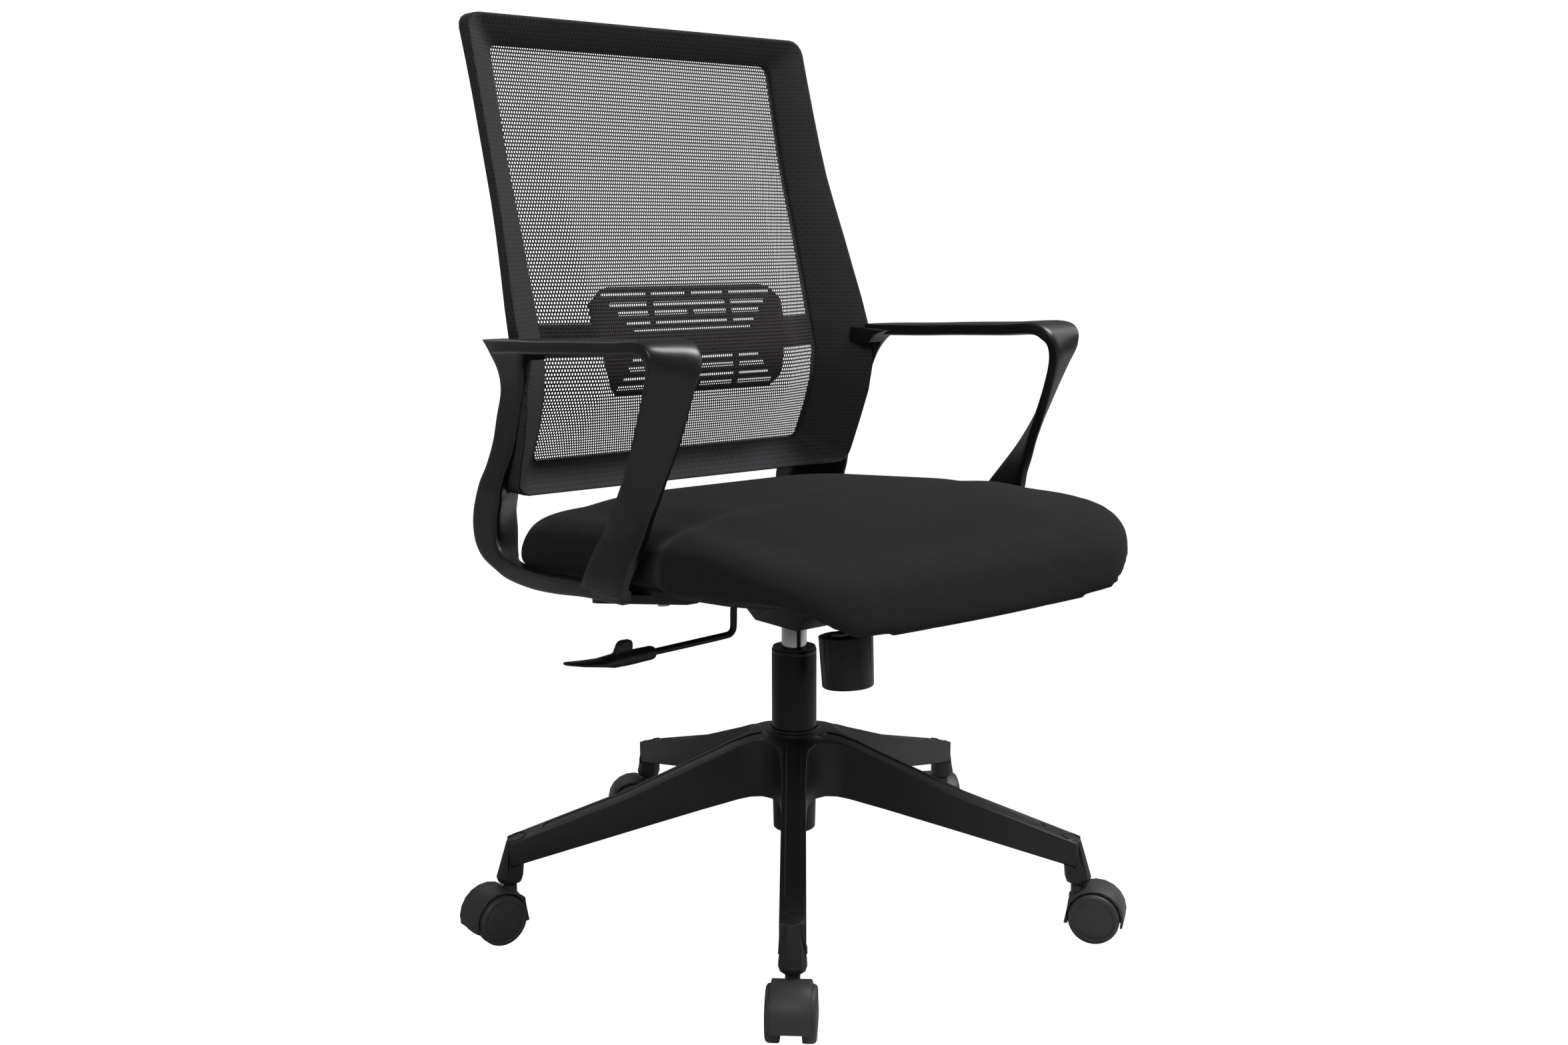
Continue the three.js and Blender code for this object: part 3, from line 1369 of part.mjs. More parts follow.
// Casters: the stem's axis at the origin on the floor, the wheels trailing towards +X
function casterHood() {
  const arc = (radius, from, to, steps) =>
    Array.from({ length: steps + 1 }, (_, i) => {
      const turn = mix(from, to, i / steps);
      return [casterTrail + radius * cos(turn), wheelRadius + radius * sin(turn)];
    });
  const dip = Math.asin(hoodTipDrop / hoodOuterRadius);
  const innerDip = Math.asin(hoodTipDrop / hoodInnerRadius);
  const front = casterTrail - hoodFrontOut;
  const shell = outline([
    ...arc(hoodOuterRadius, -dip, 0.62 * PI, 7),
    [casterTrail - hoodFrontOut + hoodFlare / 2, wheelRadius + neckRise - neckBossDrop],
    [front, wheelRadius + hoodTipDrop],
    [front - hoodFlare, wheelRadius - hoodTipDrop],
    ...arc(hoodInnerRadius, PI + innerDip, -innerDip, 9),
  ]);
  const arch = acrossY(shell, -hoodHalfWidth, hoodHalfWidth);
  const middle = (shape) => shape.translate(casterTrail, 0, wheelRadius);
  const disc = middle(rodY((hoodInnerRadius + hoodOuterRadius) / 2, -hoodWebHalfWidth, hoodWebHalfWidth));
  const kept = block(-casterTrail, 3 * casterTrail, -hoodHalfWidth, hoodHalfWidth, wheelRadius - hoodTipDrop, 3 * wheelRadius);
  const hub = middle(rodY(wheelHubRadius, -hoodWebHalfWidth, hoodWebHalfWidth, smallSides));
  const neckTop = wheelRadius + neckRise;
  const bossFoot = neckTop - stemInHood - gap - (neckBossRadius - stemRadius);
  const boss = rod(neckBossRadius, bossFoot, neckTop - neckBossDrop + gap, smallSides);
  const neck = rod(neckRadius, bossFoot, neckTop, smallSides);
  const axleHole = middle(rodY(axleRadius + gap, -hoodHalfWidth, hoodHalfWidth, smallSides));
  const stemHole = rod(stemRadius + gap, neckTop - stemInHood - gap, neckTop + overrun, smallSides);
  return cut(join(arch, common(disc, kept), hub, boss, neck), axleHole, stemHole);
}

const casterStem = () =>
  rod(stemRadius, wheelRadius + neckRise - stemInHood, socketBottom + stemInBase, smallSides);

const casterAxle = () =>
  rodY(axleRadius, -axleHalfLength, axleHalfLength, smallSides).translate(casterTrail, 0, wheelRadius);

function casterWheel(side) {
  const face = wheelOuter + wheelDome;
  const web = wheelOuter - wheelWeb;
  const profile = [
    [0, face],
    [wheelRadius - wheelEdge, wheelOuter],
    [wheelRadius, wheelOuter - wheelEdge],
    [wheelRadius, wheelInner],
    [wheelRadius - wheelRim, wheelInner],
    [wheelRadius - wheelRim, web],
    [wheelHubRadius, web],
    [wheelHubRadius, wheelHubInner],
    [axleRadius + gap, wheelHubInner],
    [axleRadius + gap, axleHalfLength + gap],
    [0, axleHalfLength + gap],
  ];
  // A facet, not an edge, meets the floor
  const spread = 1 / cos(PI / roundSides);
  const wheel = turned(profile).rotateZ(PI / roundSides).scale(spread, spread, 1);
  return wheel.rotateX((-side * PI) / 2).translate(casterTrail, 0, wheelRadius);
}

// The chair
const chair = new THREE.Group();
chair.name = "swivel_office_chair";

const base = new THREE.Group();
base.rotation.z = radians(firstLegDegrees);
chair.add(base);
piece("star_base", starBase(), nylon, base);
piece("gas_column", gasColumn(), blackSteel, chair);
piece("column_guide_bush", columnBush(), softNylon, chair);
piece("thrust_bearing", thrustBearing(), plainSteel, chair);
piece("piston_rod", pistonRod(), plainSteel, chair);
piece("retaining_clip", retainingClip(), plainSteel, chair);
piece("gas_cylinder", gasCylinder(), chrome, chair);
piece("valve_button", valveButton(), plainSteel, chair);
piece("mechanism_housing", mechanismHousing(), blackSteel, chair);
piece("release_cam", releaseCam(), softNylon, chair);
piece("lever_rod", leverRod(), blackSteel, chair);
piece("lever_paddle", leverPaddle(), softNylon, chair);

const seat = new THREE.Group();
seat.position.copy(pivot);
seat.rotation.x = -seatSlope;
chair.add(seat);
piece("tilt_pivot_pin", pivotPin(), plainSteel, seat);
piece("mechanism_seat_plate", seatPlate(), blackSteel, seat);
for (const [name, shape, material] of [
  ["tension_bolt", tensionBolt(), plainSteel],
  ["tension_knob", tensionKnob(), softNylon],
  ["tension_spring", tensionSpring(), blackSteel],
]) {
  piece(name, shape, material, seat).position.y = -boltForward;
}
piece("seat_pan", seatPan(), plywood, seat);
piece("seat_cushion", seatCushion(), fabric, seat);

const upper = new THREE.Group();
upper.position.copy(pivot);
chair.add(upper);
piece("back_frame", backFrame(), nylon, upper);
piece("back_mesh", backMesh(), netCloth, upper);
piece("lumbar_support", lumbarSupport(), softNylon, upper);
for (const [side, word] of [[-1, "right"], [1, "left"]]) {
  piece(`arm_${word}`, arm(side), nylon, upper);
  armBackPlaces(side).forEach((matrix, i) => {
    const shape = placed(screw(armBackScrewLength), matrix);
    piece(`arm_back_screw_${word}_${i + 1}`, shape, screwMaterial, upper);
  });
  armSeatPlaces(side).forEach((matrix, i) => {
    const shape = placed(screw(armSeatScrewLength), matrix);
    piece(`arm_seat_screw_${word}_${i + 1}`, shape, screwMaterial, seat);
  });
}

legAngles.forEach((angle, k) => {
  const number = k + 1;
  const caster = new THREE.Group();
  caster.position.set(legReach * cos(angle), legReach * sin(angle), 0);
  caster.rotation.z = radians(casterTurnDegrees[k]);
  chair.add(caster);
  piece(`caster_${number}_stem`, casterStem(), plainSteel, caster);
  piece(`caster_${number}_hood`, casterHood(), nylon, caster);
  piece(`caster_${number}_axle`, casterAxle(), plainSteel, caster);
  piece(`caster_${number}_wheel_left`, casterWheel(1), wheelPlastic, caster);
  piece(`caster_${number}_wheel_right`, casterWheel(-1), wheelPlastic, caster);
});

export default chair;
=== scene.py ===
# Swivel office chair: mesh back with a lumbar plate, loop arms, padded seat, tilt mechanism, five-legged base.
import bmesh
import bpy
import json
import math
from mathutils import Matrix, Vector


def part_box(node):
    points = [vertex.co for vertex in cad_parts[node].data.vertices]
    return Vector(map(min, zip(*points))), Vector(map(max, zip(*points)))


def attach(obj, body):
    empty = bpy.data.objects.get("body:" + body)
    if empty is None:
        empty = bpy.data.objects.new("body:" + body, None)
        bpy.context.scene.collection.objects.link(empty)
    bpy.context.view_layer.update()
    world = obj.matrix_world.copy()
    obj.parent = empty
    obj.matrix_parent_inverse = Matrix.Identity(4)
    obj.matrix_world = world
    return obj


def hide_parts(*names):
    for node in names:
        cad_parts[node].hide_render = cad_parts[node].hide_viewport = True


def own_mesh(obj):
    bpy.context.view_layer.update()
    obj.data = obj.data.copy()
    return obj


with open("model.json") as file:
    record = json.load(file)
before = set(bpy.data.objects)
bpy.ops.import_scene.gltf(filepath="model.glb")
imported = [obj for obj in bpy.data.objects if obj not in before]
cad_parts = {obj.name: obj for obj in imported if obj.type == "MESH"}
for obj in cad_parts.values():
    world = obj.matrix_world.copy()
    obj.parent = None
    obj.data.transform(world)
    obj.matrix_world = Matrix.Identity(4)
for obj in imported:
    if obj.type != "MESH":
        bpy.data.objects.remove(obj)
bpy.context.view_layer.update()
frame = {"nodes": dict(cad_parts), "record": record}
record = frame["record"]
bodyOf = {node: body for body, nodes in record["behaviour"]["bodies"].items() for node in nodes}
print("frame loaded:", len(frame["nodes"]), "nodes")


# Selection and small mesh helpers
def only(piece):
    if bpy.context.object and bpy.context.object.mode != "OBJECT":
        bpy.ops.object.mode_set(mode="OBJECT")
    bpy.ops.object.select_all(action="DESELECT")
    piece.select_set(True)
    bpy.context.view_layer.objects.active = piece


def addPiece(name, mesh):
    piece = bpy.data.objects.new(name, mesh)
    bpy.context.scene.collection.objects.link(piece)
    return piece


def inEdit(piece, *steps):
    only(piece)
    bpy.ops.object.mode_set(mode="EDIT")
    bpy.ops.mesh.select_all(action="SELECT")
    for step in steps:
        step()
    bpy.ops.object.mode_set(mode="OBJECT")


def mergeDoubles():
    bpy.ops.mesh.remove_doubles(threshold=0.00002)


def joinFlats():
    bpy.ops.mesh.dissolve_limited(angle_limit=math.radians(0.6))


def makeQuads():
    bpy.ops.mesh.tris_convert_to_quads(face_threshold=math.radians(30), shape_threshold=math.radians(60))


def turnOutwards():
    bpy.ops.mesh.normals_make_consistent(inside=False)


def copyNode(node, name, *steps):
    piece = addPiece(name, frame["nodes"][node].data.copy())
    piece.data.materials.clear()
    inEdit(piece, mergeDoubles, *steps)
    return piece


def modify(piece, kind, **settings):
    only(piece)
    made = piece.modifiers.new(kind.title(), kind)
    for key, value in settings.items():
        setattr(made, key, value)
    bpy.ops.object.modifier_apply(modifier=made.name)
    return piece


def roundEdges(piece, width, segments=2, angle=30):
    limit = math.radians(angle)
    modify(piece, "BEVEL", width=width, segments=segments, limit_method="ANGLE", angle_limit=limit,
           use_clamp_overlap=False, miter_outer="MITER_ARC")
    return piece


def smooth(piece, angle=35):
    only(piece)
    bpy.ops.object.shade_smooth_by_angle(angle=math.radians(angle))
    return piece


def place(piece, finish, *nodes, body=None, slot=None):
    if finish:
        piece.data.materials.clear()
        piece.data.materials.append(finish)
    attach(piece, body or bodyOf[nodes[0]])
    if nodes:
        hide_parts(*nodes)
    return piece


turnStart = 0.001  # radius of the ring that is poked where rows start on the axis


# A turned shape about the vertical axis: rows of radius and height, drawn from one ring
def turn(name, rows, sides=64):
    bpy.ops.object.select_all(action="DESELECT")
    radius, height = rows[0]
    bpy.ops.mesh.primitive_circle_add(vertices=sides, radius=max(radius, turnStart), location=(0, 0, height))
    piece = bpy.context.object
    piece.name = name
    bpy.ops.object.transform_apply(location=True)
    bpy.ops.object.mode_set(mode="EDIT")
    bpy.ops.mesh.select_all(action="SELECT")
    if radius == 0:
        radius = turnStart
        bpy.ops.mesh.edge_face_add()
        bpy.ops.mesh.poke()
        bpy.ops.mesh.select_all(action="DESELECT")
        bpy.ops.mesh.select_mode(type="EDGE")
        bpy.ops.mesh.select_non_manifold()
    for nextRadius, nextHeight in rows[1:]:
        lift = (0, 0, nextHeight - height)
        bpy.ops.mesh.extrude_region_move(TRANSFORM_OT_translate={"value": lift})
        share = nextRadius / radius
        bpy.ops.transform.resize(value=(share, share, 1), center_override=(0, 0, nextHeight))
        if nextRadius == 0:
            break
        radius, height = nextRadius, nextHeight
    bpy.ops.mesh.select_mode(type="VERT")
    bpy.ops.mesh.select_all(action="SELECT")
    mergeDoubles()
    turnOutwards()
    bpy.ops.object.mode_set(mode="OBJECT")
    return piece


# Shader maths on sockets, and one method for every other node
class Wire:
    def __init__(self, tree, socket):
        self.tree = tree
        self.socket = socket

    def math(self, operation, first, second=None):
        node = self.tree.nodes.new("ShaderNodeMath")
        node.operation = operation
        for slot, value in zip(node.inputs, (first, second)):
            if isinstance(value, Wire):
                self.tree.links.new(value.socket, slot)
            elif value is not None:
                slot.default_value = value
        return Wire(self.tree, node.outputs[0])

    def __add__(self, other):
        return self.math("ADD", self, other)

    def __radd__(self, other):
        return self.math("ADD", other, self)

    def __sub__(self, other):
        return self.math("SUBTRACT", self, other)

    def __rsub__(self, other):
        return self.math("SUBTRACT", other, self)

    def __mul__(self, other):
        return self.math("MULTIPLY", self, other)

    def __truediv__(self, other):
        return self.math("DIVIDE", self, other)

    def __lt__(self, other):
        return self.math("LESS_THAN", self, other)

    def __abs__(self):
        return self.math("ABSOLUTE", self)

    def __mod__(self, other):
        return self.math("FLOORED_MODULO", self, other)

    def floor(self):
        return self.math("FLOOR", self)

    def sine(self):
        return self.math("SINE", self)


class Finish:
    def __init__(self, name, color, roughness, **settings):
        self.material = bpy.data.materials.new(name)
        self.material.use_nodes = True
        self.tree = self.material.node_tree
        self.shader = self.tree.nodes["Principled BSDF"]
        self.shader.inputs["Base Color"].default_value = (*color, 1)
        self.shader.inputs["Roughness"].default_value = roughness
        for key, value in settings.items():
            self.shader.inputs[key].default_value = value

    def node(self, kind, settings=None, output=0, **values):
        node = self.tree.nodes.new("ShaderNode" + kind)
        for key, value in (settings or {}).items():
            setattr(node, key, value)
        for key, value in values.items():
            slot = node.inputs[int(key[5:])] if key.startswith("input") else node.inputs[key.replace("_", " ")]
            if isinstance(value, Wire):
                self.tree.links.new(value.socket, slot)
            else:
                slot.default_value = value
        return Wire(self.tree, node.outputs[output])

    def coordinates(self, kind="Object"):
        return self.node("TexCoord", output={"UV": 2, "Object": 3}[kind])

    def split(self, vector):
        node = self.tree.nodes.new("ShaderNodeSeparateXYZ")
        self.tree.links.new(vector.socket, node.inputs[0])
        return [Wire(self.tree, out) for out in node.outputs]

    def noise(self, vector, scale, detail=2, roughness=0.5):
        return self.node("TexNoise", Vector=vector, Scale=scale, Detail=detail, Roughness=roughness)

    def between(self, factor, first, second):
        return self.node("Mix", {"data_type": "RGBA"}, 2, input0=factor, input6=(*first, 1), input7=(*second, 1))

    def feed(self, slot, wire):
        self.tree.links.new(wire.socket, self.shader.inputs[slot])

    def bump(self, height, distance, strength=1.0):
        self.feed("Normal", self.node("Bump", Height=height, Distance=distance, Strength=strength))


noiseMiddle = 0.5  # average of a noise texture

# Noises are given by scale per metre, detail and roughness
plasticSettings = {
    "color": (0.0062, 0.0062, 0.0067),
    "lighter": (0.0088, 0.0088, 0.0095),
    "roughness": 0.42,
    "roughnessSpread": 0.10,
    "grainRoughness": 0.08,
    "gloss": 0.42,
    "clouds": (14, 4, 0.6),
    "cloudShare": 0.7,
    "grain": 1500,
    "grainDetail": (2, 0.6),
    "grainShare": 0.3,
    "grainHeight": 0.00005,
}


# Moulded plastic with a fine spark-eroded grain and faint flow clouds
def mouldedPlastic(name, **changes):
    look = {**plasticSettings, **changes}
    finish = Finish(name, look["color"], look["roughness"], **{"Specular IOR Level": look["gloss"]})
    here = finish.coordinates()
    clouds = finish.noise(here, *look["clouds"])
    grain = finish.noise(here, look["grain"], *look["grainDetail"])
    tone = clouds * look["cloudShare"] + grain * look["grainShare"]
    finish.feed("Base Color", finish.between(tone, look["color"], look["lighter"]))
    finish.feed("Roughness", look["roughness"] + (clouds - noiseMiddle) * look["roughnessSpread"]
                + (grain - noiseMiddle) * look["grainRoughness"])
    finish.bump(grain, look["grainHeight"])
    return finish.material


baseNylon = mouldedPlastic(
    "glass filled nylon", color=(0.0130, 0.0130, 0.0140), lighter=(0.0200, 0.0200, 0.0215), roughness=0.46
)
armNylon = mouldedPlastic("satin nylon", roughness=0.36, grain=2000, grainHeight=0.00003, gloss=0.5)
softNylon = mouldedPlastic(
    "soft nylon", color=(0.007, 0.007, 0.0075), lighter=(0.010, 0.010, 0.0105), roughness=0.5
)
wheelPlastic = mouldedPlastic(
    "wheel plastic", color=(0.040, 0.040, 0.043), lighter=(0.056, 0.056, 0.060), roughness=0.5, grain=1100
)
knobPlastic = mouldedPlastic(
    "knob plastic", color=(0.0045, 0.0045, 0.005), lighter=(0.0065, 0.0065, 0.007), roughness=0.4
)

metalSettings = {
    "chrome": {"color": (0.62, 0.63, 0.65), "roughness": 0.12, "spread": 0.06, "height": 0.000004,
               "marks": (300, 4, 0.6), "clouds": (30, 3, 0.5), "darker": 0.86},
    "zinc": {"color": (0.46, 0.46, 0.44), "roughness": 0.34, "spread": 0.16, "height": 0.00001,
             "marks": (700, 4, 0.6), "clouds": (30, 3, 0.5), "darker": 0.86},
}


def bareMetal(name, look):
    finish = Finish(name, look["color"], look["roughness"], Metallic=1.0)
    here = finish.coordinates()
    marks = finish.noise(here, *look["marks"])
    clouds = finish.noise(here, *look["clouds"])
    darker = tuple(look["darker"] * part for part in look["color"])
    finish.feed("Base Color", finish.between(clouds, darker, look["color"]))
    finish.feed("Roughness", look["roughness"] + (marks - noiseMiddle) * look["spread"])
    finish.bump(marks, look["height"])
    return finish.material


chrome = bareMetal("bright chrome", metalSettings["chrome"])
zincSteel = bareMetal("zinc plated steel", metalSettings["zinc"])

coatSettings = {
    "color": (0.0035, 0.0035, 0.0038), "lighter": (0.0055, 0.0055, 0.0060),
    "roughness": 0.4, "spread": 0.12, "gloss": 0.4,
    "peel": (420, 2, 0.4), "peelHeight": 0.00008, "clouds": (22, 3, 0.6),
}


# Powder coat: an orange-peel bump under a soft gloss
def powderCoat(name, look):
    finish = Finish(name, look["color"], look["roughness"], **{"Specular IOR Level": look["gloss"]})
    here = finish.coordinates()
    peel = finish.noise(here, *look["peel"])
    clouds = finish.noise(here, *look["clouds"])
    finish.feed("Base Color", finish.between(clouds, look["color"], look["lighter"]))
    finish.feed("Roughness", look["roughness"] + (clouds - noiseMiddle) * look["spread"])
    finish.bump(peel, look["peelHeight"])
    return finish.material


blackSteel = powderCoat("black powder coat", coatSettings)

plySettings = {
    "dark": (0.0075, 0.0062, 0.0052), "light": (0.017, 0.0135, 0.0108),
    "stretch": (160, 9, 160), "grain": (1.0, 4, 0.6), "grainShare": 0.75, "grainHeight": 0.0001,
    "ply": 0.0016, "plyShare": 0.25, "roughness": 0.5, "spread": 0.25,
}


# Dark stained plywood: long grain on the faces and thin plies on the edges
def stainedPly(name, look):
    finish = Finish(name, look["dark"], look["roughness"])
    here = finish.coordinates()
    *_, z = finish.split(here)
    stretched = finish.node("Mapping", Vector=here, Scale=look["stretch"])
    grain = finish.noise(stretched, *look["grain"])
    plies = (z / look["ply"]).floor() % 2.0
    tone = grain * look["grainShare"] + plies * look["plyShare"]
    finish.feed("Base Color", finish.between(tone, look["dark"], look["light"]))
    finish.feed("Roughness", look["roughness"] + grain * look["spread"])
    finish.bump(grain, look["grainHeight"])
    return finish.material


plywood = stainedPly("stained plywood", plySettings)

seatClothSettings = {
    "dark": (0.0098, 0.0092, 0.0100),
    "light": (0.0265, 0.0245, 0.0262),
    "pitch": 0.0011,  # of the yarns
    "yarnHeight": 0.00016,
    "slopeShare": 0.9,  # of the yarns' count that runs down the sides
    "slubs": (620, 3, 0.7), "patches": (9, 3, 0.5),
    "toneShares": (0.35, 0.45, 0.2),  # of weave, slubs and patches
    "heightShares": (0.6, 0.4),  # of weave and slubs
    "roughness": 0.84, "spread": 0.12,
    "sheen": (0.04, 0.4), "gloss": 0.12,
}


# Plain woven cloth: yarns that pass over and under by turns, with slubs
def wovenCloth(name, look):
    sheen, sheenRoughness = look["sheen"]
    finish = Finish(name, look["dark"], look["roughness"], **{
        "Sheen Weight": sheen, "Sheen Roughness": sheenRoughness, "Specular IOR Level": look["gloss"],
    })
    here = finish.coordinates()
    x, y, z = finish.split(here)
    turns = math.pi / look["pitch"]
    warp = (x * turns).sine()
    weft = (y * turns + z * (turns * look["slopeShare"])).sine()
    weave = warp * weft * 0.5 + 0.5
    slubs = finish.noise(here, *look["slubs"])
    patches = finish.noise(here, *look["patches"])
    weaveTone, slubTone, patchTone = look["toneShares"]
    tone = weave * weaveTone + slubs * slubTone + patches * patchTone
    finish.feed("Base Color", finish.between(tone, look["dark"], look["light"]))
    finish.feed("Roughness", look["roughness"] + slubs * look["spread"])
    weaveHeight, slubHeight = look["heightShares"]
    finish.bump(weave * weaveHeight + slubs * slubHeight, look["yarnHeight"])
    return finish.material


seatCloth = wovenCloth("woven seat cloth", seatClothSettings)

netSettings = {
    "pitch": (0.0030, 0.0042),  # of the holes, across and along
    "hole": (0.255, 0.315),  # half sizes as shares of the pitch
    "thread": (0.015, 0.0115, 0.0130),
    "threadLight": (0.031, 0.024, 0.027),
    "threadRoughness": 0.7, "threadSheen": 0.1, "threadGloss": 0.3,
    "strands": (800, 2, 0.5), "strandHeight": 0.0001,
}
borderSettings = {
    "pitch": (0.0034, 0.0046),
    "hole": (0.16, 0.34),
    "hollow": (0.0065, 0.0065, 0.007),
    "hollowShare": 0.75,
    "cloth": (0.033, 0.0325, 0.0355),
    "clothLight": (0.052, 0.0515, 0.0555),
    "acrossShares": (0.75, 0.65),  # of x and y, so the rows run on round the corner
    "strands": (700, 2, 0.6), "patches": (16, 3, 0.5), "toneShares": (0.6, 0.4),
    "roughness": 0.72, "spread": 0.16, "sheen": 0.03, "gloss": 0.15,
    "strandShare": 0.3, "height": 0.00018,
}


# Rows of holes, every second one shifted by half a pitch: 1 in a hole
def holes(across, along, pitch, size):
    row = (along / pitch[1]).floor()
    shifted = across / pitch[0] + (row % 2.0) * 0.5
    u = abs(shifted % 1.0 - 0.5) / size[0]
    v = abs((along / pitch[1]) % 1.0 - 0.5) / size[1]
    return (u * u * u + v * v * v) < 1.0


def openNet(name, look):
    finish = Finish(name, look["thread"], look["threadRoughness"], **{
        "Sheen Weight": look["threadSheen"], "Specular IOR Level": look["threadGloss"],
    })
    across, along, _ = finish.split(finish.coordinates("UV"))
    hole = holes(across, along, look["pitch"], look["hole"])
    strands = finish.noise(finish.coordinates(), *look["strands"])
    finish.feed("Base Color", finish.between(strands, look["thread"], look["threadLight"]))
    finish.feed("Alpha", 1.0 - hole)
    finish.bump(strands, look["strandHeight"])
    return finish.material


# The same net drawn tight over the frame: its holes are only dark
def borderNet(name, look):
    finish = Finish(name, look["cloth"], look["roughness"], **{
        "Sheen Weight": look["sheen"], "Specular IOR Level": look["gloss"],
    })
    here = finish.coordinates()
    x, y, z = finish.split(here)
    sideShare, depthShare = look["acrossShares"]
    hole = holes(abs(x) * sideShare - y * depthShare, z, look["pitch"], look["hole"])
    strands = finish.noise(here, *look["strands"])
    patches = finish.noise(here, *look["patches"])
    strandTone, patchTone = look["toneShares"]
    cloth = finish.between(strands * strandTone + patches * patchTone, look["cloth"], look["clothLight"])
    dark = finish.node("Mix", {"data_type": "RGBA"}, 2,
                       input0=hole * look["hollowShare"], input6=cloth, input7=(*look["hollow"], 1))
    finish.feed("Base Color", dark)
    finish.feed("Roughness", look["roughness"] + strands * look["spread"])
    finish.bump(1.0 - hole + strands * look["strandShare"], look["height"])
    return finish.material


netCloth = openNet("open net", netSettings)
borderCloth = borderNet("net over the frame", borderSettings)
print("materials made")

# The tilt pivot, from which the seat, the back and the arms are placed
pivot = Vector((0, -0.040, 0.358))

# Edge rounding: width, segments and least angle
edges = {
    "back_frame": (0.0016, 3, 32), "lumbar_support": (0.0006, 2, 35), "seat_pan": (0.0008, 2, 35),
    "mechanism_housing": (0.0007, 2, 35), "mechanism_seat_plate": (0.0006, 2, 35),
    "tension_bolt": (0.0005, 2, 35), "tilt_pivot_pin": (0.0004, 2, 35), "tension_knob": (0.0007, 3, 40),
    "star_base": (0.0011, 3, 28), "hood": (0.0006, 2, 35),
}


def limited(value):
    return min(max(value, 0), 1)


# A smooth curve through rows of place and value
def along(rows, place):
    i = 0
    while i < len(rows) - 2 and place > rows[i + 1][0]:
        i += 1
    before, start, end, after = (rows[min(max(i + k, 0), len(rows) - 1)] for k in (-1, 0, 1, 2))
    span = end[0] - start[0]
    t = limited((place - start[0]) / span)
    lead = span * (end[1] - before[1]) / (end[0] - before[0])
    trail = span * (after[1] - start[1]) / (after[0] - start[0])
    square, cube = t * t, t * t * t
    return ((2 * cube - 3 * square + 1) * start[1] + (cube - 2 * square + t) * lead
            + (3 * square - 2 * cube) * end[1] + (cube - square) * trail)


def mix(a, b, share):
    return a + (b - a) * share


# Back
backSize = {
    "bottom": 0.107, "top": 0.630,
    "windowBottom": 0.138, "windowTop": 0.598,
    "halfAtFoot": 0.193, "halfAtTop": 0.197,
    "nearest": 0.185, "rearward": 0.128,
    "sweepBottom": 0.056, "sweepTop": 0.028,
    "clothSetBack": 0.0036, "push": 0.025, "shoulder": 0.136,
    "columns": 40, "rows": 56, "lengthSteps": 64,
    "tuck": 0.0012, "held": (0.004, 0.003),  # how much wider and longer the flat net is, in the frame
}
backCurve = [(0, 0.3), (0.07, 0.2), (0.143, 0.08), (0.22, 0), (0.27, 0), (0.34, 0.09), (0.45, 0.25),
             (0.56, 0.41), (0.68, 0.6), (0.79, 0.745), (1, 1)]
pushRows = [(0.138, 0), (0.210, 1), (0.332, 1), (0.598, 0)]


def netPoint(side, height):
    size = backSize
    share = (height - size["windowBottom"]) / (size["windowTop"] - size["windowBottom"])
    half = mix(size["halfAtFoot"], size["halfAtTop"], share)
    lean = along(backCurve, (height - size["bottom"]) / (size["top"] - size["bottom"]))
    depth = size["nearest"] + size["rearward"] * lean + mix(size["sweepBottom"], size["sweepTop"], share)
    low, high = next((a, b) for a, b in zip(pushRows, pushRows[1:]) if height <= b[0] + 1e-9)
    pushed = mix(low[1], high[1], limited((height - low[0]) / (high[0] - low[0])))
    inward = limited(half * (1 - abs(side)) / (half - size["shoulder"]))
    forward = size["push"] * inward * pushed
    return pivot + Vector((side * (half + size["tuck"]), depth + size["clothSetBack"] - forward, height))


def makeNet():
    size = backSize
    bpy.ops.object.select_all(action="DESELECT")
    bpy.ops.mesh.primitive_grid_add(x_subdivisions=size["columns"], y_subdivisions=size["rows"], size=2)
    net = bpy.context.object
    net.name = "back_net"
    mesh = net.data
    heights = {}
    for vertex in mesh.vertices:
        side, share = vertex.co.x, (vertex.co.y + 1) / 2
        height = mix(size["windowBottom"] - size["tuck"], size["windowTop"] + size["tuck"], share)
        clamped = min(max(height, size["windowBottom"]), size["windowTop"])
        spot = netPoint(side, clamped)
        spot.z += height - clamped
        heights[vertex.index] = share
        vertex.co = spot
    length = 0
    last = netPoint(0, size["windowBottom"])
    lengths = [(0, 0)]
    for i in range(size["lengthSteps"]):
        share = (i + 1) / size["lengthSteps"]
        spot = netPoint(0, mix(size["windowBottom"], size["windowTop"], share))
        length += (spot - last).length
        lengths.append((share, length))
        last = spot
    layer = mesh.uv_layers.active or mesh.uv_layers.new(name="cloth")
    for loop in mesh.loops:
        spot = mesh.vertices[loop.vertex_index].co
        layer.data[loop.index].uv = (spot.x + 0.5, along(lengths, heights[loop.vertex_index]))
    smooth(net, 60)
    place(net, netCloth, "back_mesh", slot="net_cloth")
    return net


def makeBackFrame():
    piece = copyNode("back_frame", "back_surround", makeQuads)
    roundEdges(piece, *edges["back_frame"])
    smooth(piece, 40)
    piece.data.materials.append(borderCloth)
    piece.data.materials.append(armNylon)
    for face in piece.data.polygons:
        face.material_index = 1 if face.normal.y > 0.3 else 0
    place(piece, None, "back_frame", slot="soft_nylon")
    return piece


def makeLumbar():
    piece = copyNode("lumbar_support", "lumbar_plate")
    roundEdges(piece, *edges["lumbar_support"])
    smooth(piece, 35)
    return place(piece, softNylon, "lumbar_support", slot="soft_nylon")


makeNet()
makeBackFrame()
makeLumbar()
print("back made")

